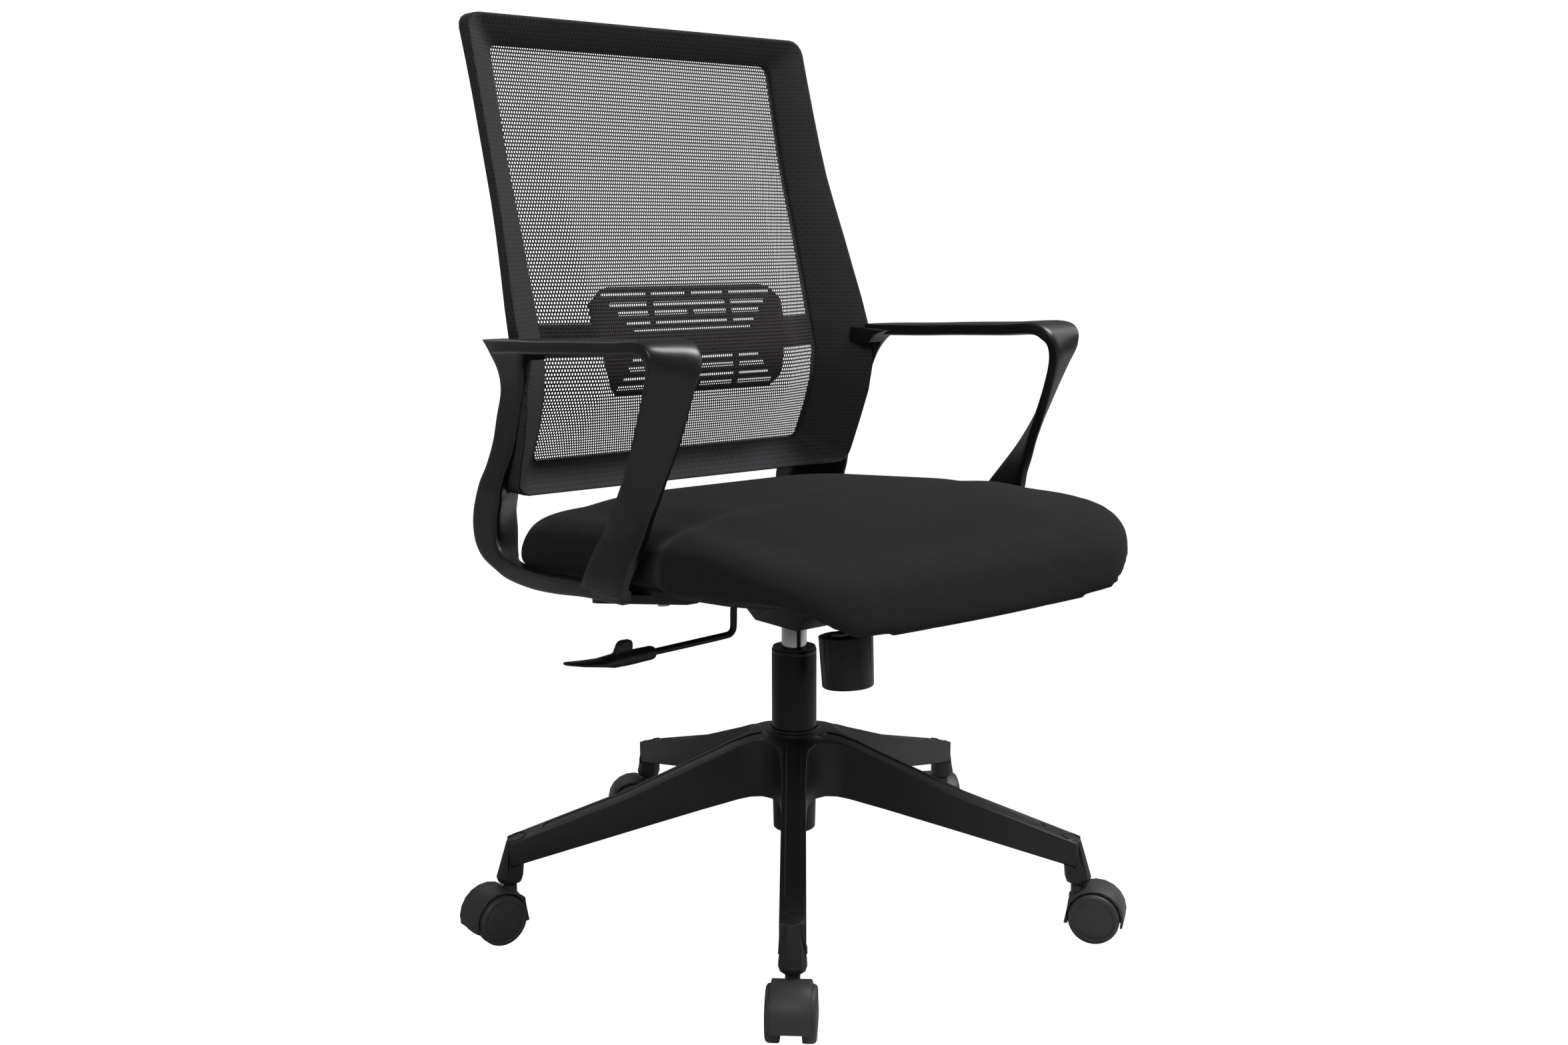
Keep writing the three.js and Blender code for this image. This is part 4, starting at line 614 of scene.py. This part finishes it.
# Arms: lofts through the CAD's own sections, closer set and rounder
armSize = {
    "reach": 0.264, "forward": 0.110, "height": 0.285, "rear": 0.300,
    "restWidth": 0.066, "restThickness": 0.015,
    "sweep": 38 / 264, "taper": 0.33,
    "points": 44, "between": 5,
    "bandSquareness": 0.36, "uprightSquareness": 0.30,
}
bandRows = [
    (1.02, -0.0545, 0.151, 1.12, 1, 0.8), (1.02, 0.00909, 0.204, 1.09, 1, 0.8),
    (1.01, 0.118, 0.281, 1.02, 0.98, 0.8), (1, 0.241, 0.358, 0.909, 0.92, 0.8),
    (1, 0.345, 0.428, 0.773, 0.81, 0.8), (1, 0.464, 0.498, 0.697, 0.69, 0.8),
    (1, 0.568, 0.568, 0.659, 0.56, 0.8), (1, 0.718, 0.674, 0.682, 0.44, 0.8),
    (1, 0.841, 0.779, 0.697, 0.37, 0.8), (1, 0.941, 0.874, 0.712, 0.28, 0.86),
    (0.996, 0.995, 0.94, 0.788, 0.16, 0.94), (0.992, 0.959, 0.986, 0.879, 0.05, 1),
    (0.992, 0.8, 1.01, 0.939, 0, 1), (0.992, 0.364, 1, 0.894, 0, 1),
    (0.992, -0.364, 0.988, 0.803, 0, 1), (0.989, -0.909, 0.977, 0.712, 0, 1),
    (0.981, -1.55, 0.967, 0.576, 0, 1), (0.973, -1.93, 0.958, 0.439, 0, 1),
    (0.966, -2.07, 0.954, 0.303, 0, 0.95),
]
uprightRows = [
    (-0.107, 0.126, -0.107, 0.172, 1.04, 0.992, 0), (0.133, 0.109, 0.133, 0.158, 1.03, 0.955, 0),
    (0.333, 0.0842, 0.333, 0.144, 1.02, 0.947, 0), (0.533, 0.0667, 0.533, 0.132, 1, 0.932, 0),
    (0.731, 0.0667, 0.721, 0.133, 0.977, 0.902, 0.0152), (0.836, 0.0877, 0.787, 0.151, 0.97, 0.856, 0.0379),
    (0.933, 0.121, 0.824, 0.186, 0.966, 0.803, 0.0758), (0.987, 0.172, 0.839, 0.232, 0.962, 0.769, 0.106),
    (0.998, 0.242, 0.835, 0.291, 0.962, 0.754, 0.136), (0.983, 0.319, 0.817, 0.351, 0.962, 0.75, 0.144),
    (0.94, 0.411, 0.807, 0.393, 0.962, 0.754, 0.144), (0.896, 0.488, 0.772, 0.474, 0.955, 0.769, 0.114),
    (0.872, 0.582, 0.734, 0.561, 0.939, 0.795, 0.0606), (0.841, 0.684, 0.695, 0.663, 0.939, 0.818, 0.0303),
    (0.8, 0.782, 0.637, 0.793, 0.947, 0.833, 0), (0.787, 0.86, 0.607, 0.877, 0.966, 0.848, 0),
    (0.81, 0.933, 0.56, 0.94, 0.992, 0.856, 0), (0.833, 0.979, 0.487, 0.965, 1.01, 0.864, 0),
]


def sectionRing(middle, across, through, halfAcross, halfThrough, squareness, wider=0):
    def bent(value):
        return math.copysign(abs(value) ** squareness, value)

    ring = []
    count = armSize["points"]
    for i in range(count):
        angle = 2 * math.pi * (i + 0.5) / count
        side = halfAcross * bent(math.cos(angle)) * (1 + wider * bent(math.sin(angle)))
        ring.append(middle + across * side + through * (halfThrough * bent(math.sin(angle))))
    return ring


def between(rings, steps):
    made = []
    last = len(rings) - 1
    for i in range(last):
        a, b, c, d = (rings[min(max(i + k, 0), last)] for k in (-1, 0, 1, 2))
        for step in range(steps):
            t = step / steps
            square, cube = t * t, t * t * t
            made.append([
                0.5 * (2 * q + (r - p) * t + (2 * p - 5 * q + 4 * r - s) * square + (3 * q - p - 3 * r + s) * cube)
                for p, q, r, s in zip(a, b, c, d)
            ])
    return made + [rings[-1]]


def loft(name, rings):
    shape = bmesh.new()
    loops = [[shape.verts.new(spot) for spot in ring] for ring in rings]
    count = len(loops[0])
    for here, beyond in zip(loops, loops[1:]):
        for j in range(count):
            k = (j + 1) % count
            shape.faces.new((here[j], here[k], beyond[k], beyond[j]))
    shape.faces.new(list(reversed(loops[0])))
    shape.faces.new(loops[-1])
    bmesh.ops.recalc_face_normals(shape, faces=shape.faces)
    mesh = bpy.data.meshes.new(name)
    shape.to_mesh(mesh)
    shape.free()
    return addPiece(name, mesh)


def armBand(side):
    size = armSize
    middles = [Vector((out * size["reach"], -ahead * size["forward"], high * size["height"]))
               for out, ahead, high, *_ in bandRows]
    rings = []
    for i, (_, _, _, width, turned, thick) in enumerate(bandRows):
        angle = turned * math.pi / 2
        across = Vector((math.cos(angle), math.sin(angle), 0))
        onward = middles[min(i + 1, len(middles) - 1)] - middles[max(i - 1, 0)]
        through = onward.cross(across).normalized()
        halfWidth, halfThick = width * size["restWidth"] / 2, thick * size["restThickness"] / 2
        rings.append(sectionRing(middles[i], across, through, halfWidth, halfThick, size["bandSquareness"]))
    return loft("armBand", mirrored(between(rings, size["between"]), side))


def armUpright(side):
    size = armSize
    rings = []
    for outerRear, outerHigh, innerRear, innerHigh, outerOut, innerOut, swept in uprightRows:
        outer = Vector((outerOut * size["reach"], outerRear * size["rear"], outerHigh * size["height"]))
        inner = Vector((outerOut * size["reach"], innerRear * size["rear"], innerHigh * size["height"]))
        across = outer - inner
        through = Vector((outerOut - innerOut, -swept, 0)) * (size["reach"] / 2)
        middle = (outer + inner) / 2 - through
        wider = size["taper"] * swept / size["sweep"]
        rings.append(sectionRing(middle, across.normalized(), through.normalized(), across.length / 2,
                                 through.length, size["uprightSquareness"], wider))
    return loft("armUpright", mirrored(between(rings, size["between"]), side))


def mirrored(rings, side):
    return [[pivot + Vector((side * spot.x, spot.y, spot.z)) for spot in ring] for ring in rings]


def combine(piece, other, operation):
    modify(piece, "BOOLEAN", object=other, operation=operation, solver="EXACT")
    bpy.data.objects.remove(other)
    return piece


flangeSize = {"inner": 0.200, "outer": 0.262, "front": -0.060, "frontOuter": 0.214, "taperStart": 0.030,
              "rear": 0.037, "top": 0.0367, "thickness": 0.009, "slope": math.radians(4.5)}


def armFlange(side):
    size = flangeSize
    corners = [(size["inner"], size["front"]), (size["frontOuter"], size["front"]),
               (size["outer"], size["taperStart"]), (size["outer"], size["rear"]), (size["inner"], size["rear"])]
    tilt = Matrix.Translation(pivot) @ Matrix.Rotation(-size["slope"], 4, "X")
    rings = [[tilt @ Vector((side * x, y, height)) for x, y in corners]
             for height in (size["top"] - size["thickness"], size["top"])]
    return loft("armFlange", rings)


screwCut = {"clearance": 0.0003, "reach": 0.03, "head": 0.0045, "pitch": math.radians(32), "sides": 32}


# A screw's centre, where its head ends along its axis, and its radius
def screwAxis(node, axis):
    spots = [vertex.co for vertex in frame["nodes"][node].data.vertices]
    low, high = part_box(node)
    centre = (low + high) / 2
    along = [(spot - centre).dot(axis) for spot in spots]
    radius = max(((spot - centre) - axis * (spot - centre).dot(axis)).length for spot in spots)
    return centre, min(along), radius


def boreFor(node, axis):
    centre, first, radius = screwAxis(node, axis)
    bpy.ops.object.select_all(action="DESELECT")
    length = screwCut["reach"] + screwCut["head"]
    middle = centre + axis * (first + screwCut["head"] - length / 2)
    turned = Vector((0, 0, 1)).rotation_difference(axis)
    bpy.ops.mesh.primitive_cylinder_add(
        vertices=screwCut["sides"], radius=radius + screwCut["clearance"], depth=length
    )
    bore = bpy.context.object
    bore.data.transform(Matrix.Translation(middle) @ turned.to_matrix().to_4x4())
    return bore


# The frame's front is kept free under the rest, so the upright never laps over the net's border
frameCut = {"steps": 8, "step": 0.010, "clearance": 0.0009, "under": 0.618}


def blockUpTo(height):
    bpy.ops.object.select_all(action="DESELECT")
    bpy.ops.mesh.primitive_cube_add(size=2)
    limit = bpy.context.object
    limit.data.transform(Matrix.Translation((0, 0, height - 1)))
    return limit


def makeArm(side, name):
    piece = armBand(side)
    piece.name = "arm_loop_" + name
    combine(piece, armUpright(side), "UNION")
    combine(piece, armFlange(side), "UNION")
    for step in range(frameCut["steps"]):
        clear = copyNode("back_frame", "frameClearance", makeQuads)
        modify(clear, "DISPLACE", strength=frameCut["clearance"], mid_level=0)
        if step:
            clear.data.transform(Matrix.Translation((0, -step * frameCut["step"], 0)))
            combine(clear, blockUpTo(frameCut["under"]), "INTERSECT")
        combine(piece, clear, "DIFFERENCE")
    inward = Vector((0, -math.cos(screwCut["pitch"]), -math.sin(screwCut["pitch"])))
    for i in (1, 2):
        combine(piece, boreFor(f"arm_back_screw_{name}_{i}", inward), "DIFFERENCE")
    inEdit(piece, mergeDoubles)
    smooth(piece, 32)
    return place(piece, armNylon, "arm_" + name, slot="base_nylon")


makeArm(1, "right")
makeArm(-1, "left")
print("arms made")

# Seat
cushionSize = {
    "halfWidth": 0.2505, "front": 0.271, "rear": 0.273, "frontRadius": 0.070, "rearRadius": 0.084, "bow": -0.002,
    "flare": 0.019, "flareStart": 0.040, "flareLength": 0.060,
    "edge": 0.040, "crest": 0.103, "crown": 0.020, "drawIn": 0.029,
    "lipDrop": 0.054, "lipCornerDrop": 0.036, "lipLength": 0.200, "lipLate": 10, "lipFront": 0.269,
    "cornerShare": 0.4,  # least corner of an inner outline, of its half width
    "cornerSteps": 16, "sideSteps": 60, "rowSteps": 4,
    "footShares": (0.52, 0.24),  # insets of the flat underside's rings
    "start": 0.0003, "boardClearance": 0.0006, "voxel": 0.005, "evening": 0.5,
    "quality": 4, "pressure": 4, "cap": 0.0045, "frames": 20,
    "puffFrom": 0.395, "puffOver": 0.03,
    "crease": 0.0040, "creaseWidth": 0.020, "creaseFrom": (0.016, -0.150), "creaseTo": (0.256, -0.074),
    "creaseAbove": 0.440, "creaseWithin": 0.262, "creaseFade": 0.02, "creasePower": 0.8,
}
sideRows = [(0.024, 0.13), (0, 0.33), (0.013, 0.58), (0.050, 0.80), (0.115, 0.925), (0.21, 0.99)]
crownRows = [(0.36, 0.5), (0.6, 0.85), (0.85, 1)]


def lipFall(x, y, height):
    size = cushionSize
    share = limited((-y - size["lipFront"] + size["lipLength"]) / size["lipLength"])
    high = limited((height - size["edge"]) / (size["crest"] - size["edge"]))
    drop = mix(size["lipDrop"], size["lipCornerDrop"], limited(abs(x) / size["halfWidth"]) ** 2)
    return drop * share ** mix(size["lipLate"], 2, high)


# One outline of the seat at an inset, lowered over its waterfall front
def seatRing(inset, height):
    size = cushionSize
    wide = size["halfWidth"] - inset
    outline = []
    for sx, sy, reach, radius, start in (
        (1, 1, size["rear"], size["rearRadius"], 0), (-1, 1, size["rear"], size["rearRadius"], 0.5),
        (-1, -1, size["front"], size["frontRadius"], 1), (1, -1, size["front"], size["frontRadius"], 1.5),
    ):
        reach -= inset
        corner = max(radius - inset, min(wide, reach) * size["cornerShare"])
        for i in range(size["cornerSteps"] + 1):
            angle = math.pi * (start + 0.5 * i / size["cornerSteps"])
            outline.append((sx * (wide - corner) + corner * math.cos(angle),
                            sy * (reach - corner) + corner * math.sin(angle)))
    ring = []
    for i, (x, y) in enumerate(outline):
        nextX, nextY = outline[(i + 1) % len(outline)]
        steps = size["sideSteps"] if i % (size["cornerSteps"] + 1) == size["cornerSteps"] else 1
        ring += [(mix(x, nextX, k / steps), mix(y, nextY, k / steps)) for k in range(steps)]
    tilt = Matrix.Translation(pivot) @ Matrix.Rotation(-flangeSize["slope"], 4, "X")
    spots = []
    for x, y in ring:
        bow = size["bow"] * (1 - (x / size["halfWidth"]) ** 2) * (-y / size["front"]) ** 2 if y < 0 else 0
        ahead = limited((-y - size["flareStart"]) / size["flareLength"])
        flare = size["flare"] * x * ahead ** 2 * (3 - 2 * ahead) / size["halfWidth"]
        spots.append(tilt @ Vector((x + flare, y - bow, height - lipFall(x, y, height))))
    return spots


# A shallow shaded valley that runs in from each side, just ahead of the arm, and fades towards the middle
def creaseDepth(spot):
    size = cushionSize
    (innerX, innerY), (outerX, outerY) = size["creaseFrom"], size["creaseTo"]
    along = (abs(spot.x) - innerX) / (outerX - innerX)
    offset = (spot.y - mix(innerY, outerY, along)) / size["creaseWidth"]
    fade = limited(along) ** size["creasePower"] * limited((spot.z - size["creaseAbove"]) / size["creaseFade"])
    fade *= limited((size["creaseWithin"] - abs(spot.x)) / size["creaseFade"])
    return size["crease"] * fade * math.exp(-offset * offset)


def makeCushion():
    size = cushionSize
    half = size["halfWidth"]
    layers = [(half * share + size["drawIn"], size["edge"]) for share in (*size["footShares"], 0)]
    layers += [(half * inset, mix(size["edge"], size["crest"], high)) for inset, high in sideRows]
    layers += [(half * inset, size["crest"] + size["crown"] * high) for inset, high in crownRows]
    rings = [seatRing(*layer) for layer in layers]
    piece = loft("seat_pad", rings[:2] + between(rings[2:], size["rowSteps"]))
    board = copyNode("seat_pan", "boardClearance")
    modify(board, "DISPLACE", strength=size["boardClearance"], mid_level=0)
    combine(piece, board, "DIFFERENCE")
    modify(piece, "DISPLACE", strength=-size["start"], mid_level=0)
    modify(piece, "REMESH", mode="VOXEL", voxel_size=size["voxel"], adaptivity=0)
    modify(piece, "SMOOTH", factor=size["evening"], iterations=3)
    rest = [vertex.co.copy() for vertex in piece.data.vertices]
    only(piece)
    cloth = piece.modifiers.new("Cloth", "CLOTH")
    cloth.settings.quality = size["quality"]
    cloth.settings.use_pressure = True
    cloth.settings.uniform_pressure_force = size["pressure"]
    cloth.settings.effector_weights.gravity = 0
    cloth.point_cache.frame_start = 1
    cloth.point_cache.frame_end = size["frames"]
    for step in range(1, size["frames"] + 1):
        bpy.context.scene.frame_set(step)
    bpy.ops.object.modifier_apply(modifier=cloth.name)
    bpy.context.scene.frame_set(1)
    for vertex, start in zip(piece.data.vertices, rest):
        move = vertex.co - start
        if move.length > size["cap"]:
            move = move.normalized() * size["cap"]
        above = limited((start.z - size["puffFrom"]) / size["puffOver"])
        vertex.co = start + move * above
        vertex.co.z -= creaseDepth(vertex.co)
    modify(piece, "SMOOTH", factor=size["evening"], iterations=2)
    modify(piece, "SUBSURF", levels=1, render_levels=1)
    smooth(piece, 60)
    place(piece, seatCloth, "seat_cushion", slot="seat_fabric")
    print("seat pad:", len(piece.data.polygons), "faces")
    return piece


makeCushion()
ply = copyNode("seat_pan", "seat_board", joinFlats)
roundEdges(ply, *edges["seat_pan"])
place(smooth(ply, 35), plywood, "seat_pan", slot="plywood")
print("seat made")

# Tilt mechanism, lever and knob
for node, finish, slot in (
    ("mechanism_housing", blackSteel, "black_steel"),
    ("mechanism_seat_plate", blackSteel, "black_steel"),
    ("tension_bolt", blackSteel, "plain_steel"),
    ("tilt_pivot_pin", zincSteel, "plain_steel"),
):
    piece = copyNode(node, node + "_made", joinFlats)
    roundEdges(piece, *edges[node])
    place(smooth(piece, 35), finish, node, slot=slot)

knob = copyNode("tension_knob", "knob_made", joinFlats)
roundEdges(knob, *edges["tension_knob"])
place(smooth(knob, 40), knobPlastic, "tension_knob", slot="soft_nylon")

rod = copyNode("lever_rod", "lever_wire", makeQuads)
modify(rod, "SUBSURF", levels=2, render_levels=2)
place(smooth(rod, 60), blackSteel, "lever_rod", slot="black_steel")

paddleSize = {"voxel": 0.0011, "evening": 0.5, "rounds": 6}
paddle = copyNode("lever_paddle", "lever_grip")
modify(paddle, "REMESH", mode="VOXEL", voxel_size=paddleSize["voxel"], adaptivity=0)
modify(paddle, "SMOOTH", factor=paddleSize["evening"], iterations=paddleSize["rounds"])
place(smooth(paddle, 60), knobPlastic, "lever_paddle", slot="soft_nylon")

spring = copyNode("tension_spring", "spring_wire", makeQuads)
modify(spring, "SUBSURF", levels=1, render_levels=1)
place(smooth(spring, 60), zincSteel, "tension_spring", slot="plain_steel")
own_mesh(spring)
print("mechanism made")

# Gas lift
liftSize = {"outer": 0.025, "taper": 0.0235, "taperTop": 0.150, "top": 0.295, "wall": 0.0023, "rim": 0.0012}


def makeColumn():
    size = liftSize
    low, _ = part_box("gas_column")
    bore = size["outer"] - size["wall"]
    rows = [
        (size["taper"] - 0.001, low.z), (size["taper"], low.z + 0.001), (size["outer"], size["taperTop"]),
        (size["outer"], size["top"] - 0.006), (size["outer"] - 0.0004, size["top"] - 0.0052),
        (size["outer"], size["top"] - 0.0044), (size["outer"], size["top"] - size["rim"]),
        (size["outer"] - 0.0004, size["top"] - 0.0003), (size["outer"] - 0.001, size["top"]),
        (bore + 0.0004, size["top"]), (bore, size["top"] - 0.0005), (bore, 0.240),
    ]
    return turn("lift_tube", rows, 96)


place(smooth(makeColumn(), 35), blackSteel, "gas_column", slot="black_steel")

cylinderRows = [
    (0, 0.150), (0.0120, 0.150), (0.0134, 0.1510), (0.0134, 0.154), (0.0140, 0.156),
    (0.0140, 0.362), (0.0134, 0.3638), (0, 0.364),
]
place(smooth(turn("lift_cylinder", cylinderRows, 72), 30), chrome, "gas_cylinder", slot="chrome")
print("gas lift made")

# Star base
base = copyNode("star_base", "base_star", joinFlats)
roundEdges(base, *edges["star_base"])
place(smooth(base, 40), baseNylon, "star_base", slot="base_nylon")
print("base made")

# Casters
wheelSize = {
    "reach": 0.322, "firstLeg": 230.7, "turns": (227.7, 304.7, 60, 150, 179.7), "trail": 0.020,
    "radius": 0.0274, "inner": 0.011, "outer": 0.0242, "dome": 0.0014, "nearEnough": 0.012,
}


# One wheel about the vertical axis: a tread, a round shoulder, a raised rim and a dished disc
def makeWheel():
    size = wheelSize
    r, face = size["radius"], size["outer"]
    rows = [
        (0.0034, 0.0197), (0.0034, 0.0042), (0.0070, 0.0042), (0.0070, 0.0198), (r - 0.003, 0.0198),
        (r - 0.003, size["inner"] + 0.0006), (r - 0.0024, size["inner"]), (r - 0.0008, size["inner"]),
        (r - 0.0001, size["inner"] + 0.0008), (r, 0.0165), (r - 0.0001, 0.0205), (r - 0.0007, 0.0224),
        (r - 0.0017, 0.0236), (r - 0.0030, face), (r - 0.0050, face + 0.0001), (r - 0.0056, face - 0.0005),
        (r - 0.0062, face - 0.0007), (r - 0.0068, face - 0.0003), (r - 0.0120, face + 0.0006),
        (r - 0.0200, face + 0.0012), (0, face + size["dome"]),
    ]
    wheel = turn("wheelPattern", rows, 72)
    # A face closes the blind end of the bore
    inEdit(wheel, turnOutwards)
    bpy.ops.object.mode_set(mode="EDIT")
    bpy.ops.mesh.select_mode(type="EDGE")
    bpy.ops.mesh.select_all(action="DESELECT")
    bpy.ops.mesh.select_non_manifold()
    bpy.ops.mesh.edge_face_add()
    bpy.ops.mesh.select_all(action="SELECT")
    turnOutwards()
    bpy.ops.object.mode_set(mode="OBJECT")
    smooth(wheel, 28)
    return wheel


wheel = makeWheel()
for k, turned in enumerate(wheelSize["turns"]):
    angle = math.radians(wheelSize["firstLeg"] + 72 * k)
    foot = Vector((wheelSize["reach"] * math.cos(angle), wheelSize["reach"] * math.sin(angle), 0))
    stand = Matrix.Translation(foot) @ Matrix.Rotation(math.radians(turned), 4, "Z")
    axle = Matrix.Translation((wheelSize["trail"], 0, wheelSize["radius"]))
    for side, name in ((1, "left"), (-1, "right")):
        node = f"caster_{k + 1}_wheel_{name}"
        lay = Matrix.Rotation(-side * math.pi / 2, 4, "X")
        piece = addPiece(f"roller_{k + 1}_{name}", wheel.data.copy())
        piece.data.transform(stand @ axle @ lay)
        middle = sum((Vector(corner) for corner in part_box(node)), Vector()) / 2
        spots = [vertex.co for vertex in piece.data.vertices]
        mine = sum(spots, Vector()) / len(spots)
        if (mine - middle).length > wheelSize["nearEnough"]:
            print("wheel off its node:", node, (mine - middle).length)
        place(piece, wheelPlastic, node, slot="wheel_plastic")
    hood = copyNode(f"caster_{k + 1}_hood", f"fork_{k + 1}", joinFlats)
    roundEdges(hood, *edges["hood"])
    place(smooth(hood, 38), wheelPlastic, f"caster_{k + 1}_hood", slot="wheel_plastic")
bpy.data.objects.remove(wheel)
print("casters made")

# CAD nodes that keep their own shape
keptFinishes = {
    "column_guide_bush": softNylon, "release_cam": softNylon, "thrust_bearing": zincSteel,
    "piston_rod": chrome, "retaining_clip": zincSteel, "valve_button": zincSteel,
}
for name, node in frame["nodes"].items():
    if node.hide_render:
        continue
    node.data.materials.clear()
    node.data.materials.append(keptFinishes.get(name, zincSteel))
    print("kept:", name)

# Floor, backdrop, light and camera
stageSize = {
    "floor": 14, "drop": 0.0004, "floorTone": 0.55, "floorRoughness": 0.9, "glow": 1.06, "shadowShare": 0.07,
    "sky": 0.13, "glossyShare": 0.06,
}


def makeFloor():
    bpy.ops.object.select_all(action="DESELECT")
    bpy.ops.mesh.primitive_plane_add(size=stageSize["floor"], location=(0, 0, -stageSize["drop"]))
    floor = bpy.context.object
    floor.name = "floor"
    bpy.ops.object.transform_apply(location=True)
    tone = (stageSize["floorTone"],) * 3
    finish = Finish("pale floor", tone, stageSize["floorRoughness"], **{"Specular IOR Level": 0.0})
    tree = finish.tree
    seen = finish.node("LightPath")
    glow = finish.node("Emission", Color=(1, 1, 1, 1), Strength=stageSize["glow"])
    mixed = tree.nodes.new("ShaderNodeMixShader")
    factor = seen * (1 - stageSize["shadowShare"])
    tree.links.new(factor.socket, mixed.inputs[0])
    tree.links.new(finish.shader.outputs[0], mixed.inputs[1])
    tree.links.new(glow.socket, mixed.inputs[2])
    tree.links.new(mixed.outputs[0], tree.nodes["Material Output"].inputs["Surface"])
    floor.data.materials.append(finish.material)


def makeSky():
    world = bpy.data.worlds.new("studio")
    bpy.context.scene.world = world
    world.use_nodes = True
    tree = world.node_tree
    background = tree.nodes["Background"]
    background.inputs["Color"].default_value = (1, 1, 1, 1)
    path = tree.nodes.new("ShaderNodeLightPath")
    seen = Wire(tree, path.outputs["Is Camera Ray"])
    through = Wire(tree, path.outputs["Is Transmission Ray"])
    glossy = Wire(tree, path.outputs["Is Glossy Ray"])
    shown = seen.math("MINIMUM", seen + through + glossy * stageSize["glossyShare"], 1.0)
    strength = stageSize["sky"] + shown * (1 - stageSize["sky"])
    tree.links.new(strength.socket, background.inputs["Strength"])


lamps = [
    # name, place, aim, size, watts
    ("key", (-2.0, -1.8, 2.5), (0, 0, 0.5), 1.4, 30),
    ("fill", (2.8, -0.5, 1.8), (0, 0, 0.4), 1.6, 14),
    ("back", (0.4, 2.8, 2.4), (0, 0, 0.6), 1.6, 7),
    ("top", (1.35, -0.65, 2.9), (0, 0, 0.4), 1.1, 66),
]


def makeLamps():
    for name, spot, aim, size, watts in lamps:
        lamp = bpy.data.lights.new(name, "AREA")
        lamp.shape = "DISK"
        lamp.size = size
        lamp.energy = watts
        holder = bpy.data.objects.new(name, lamp)
        bpy.context.scene.collection.objects.link(holder)
        holder.location = spot
        holder.rotation_euler = (Vector(aim) - Vector(spot)).to_track_quat("-Z", "Y").to_euler()
        holder.visible_camera = False


cameraSize = {
    "eye": (-1.1373, -1.4042, 0.747), "ahead": (0.6333, 0.7739), "down": 9.76,
    "sensor": 36, "lens": 38.28, "shift": -0.0117, "clip": (0.05, 60),
}


def makeCamera():
    size = cameraSize
    camera = bpy.data.cameras.new("camera")
    camera.sensor_width = size["sensor"]
    camera.lens = size["lens"]
    camera.shift_x = size["shift"]
    camera.clip_start, camera.clip_end = size["clip"]
    holder = bpy.data.objects.new("camera", camera)
    bpy.context.scene.collection.objects.link(holder)
    down = math.radians(size["down"])
    ahead = Vector((size["ahead"][0] * math.cos(down), size["ahead"][1] * math.cos(down), -math.sin(down)))
    holder.location = size["eye"]
    holder.rotation_euler = ahead.to_track_quat("-Z", "Y").to_euler()
    bpy.context.scene.camera = holder


makeFloor()
makeSky()
makeLamps()
makeCamera()
bpy.context.scene.view_settings.view_transform = "Standard"
bpy.ops.object.select_all(action="DESELECT")
print("scene ready")
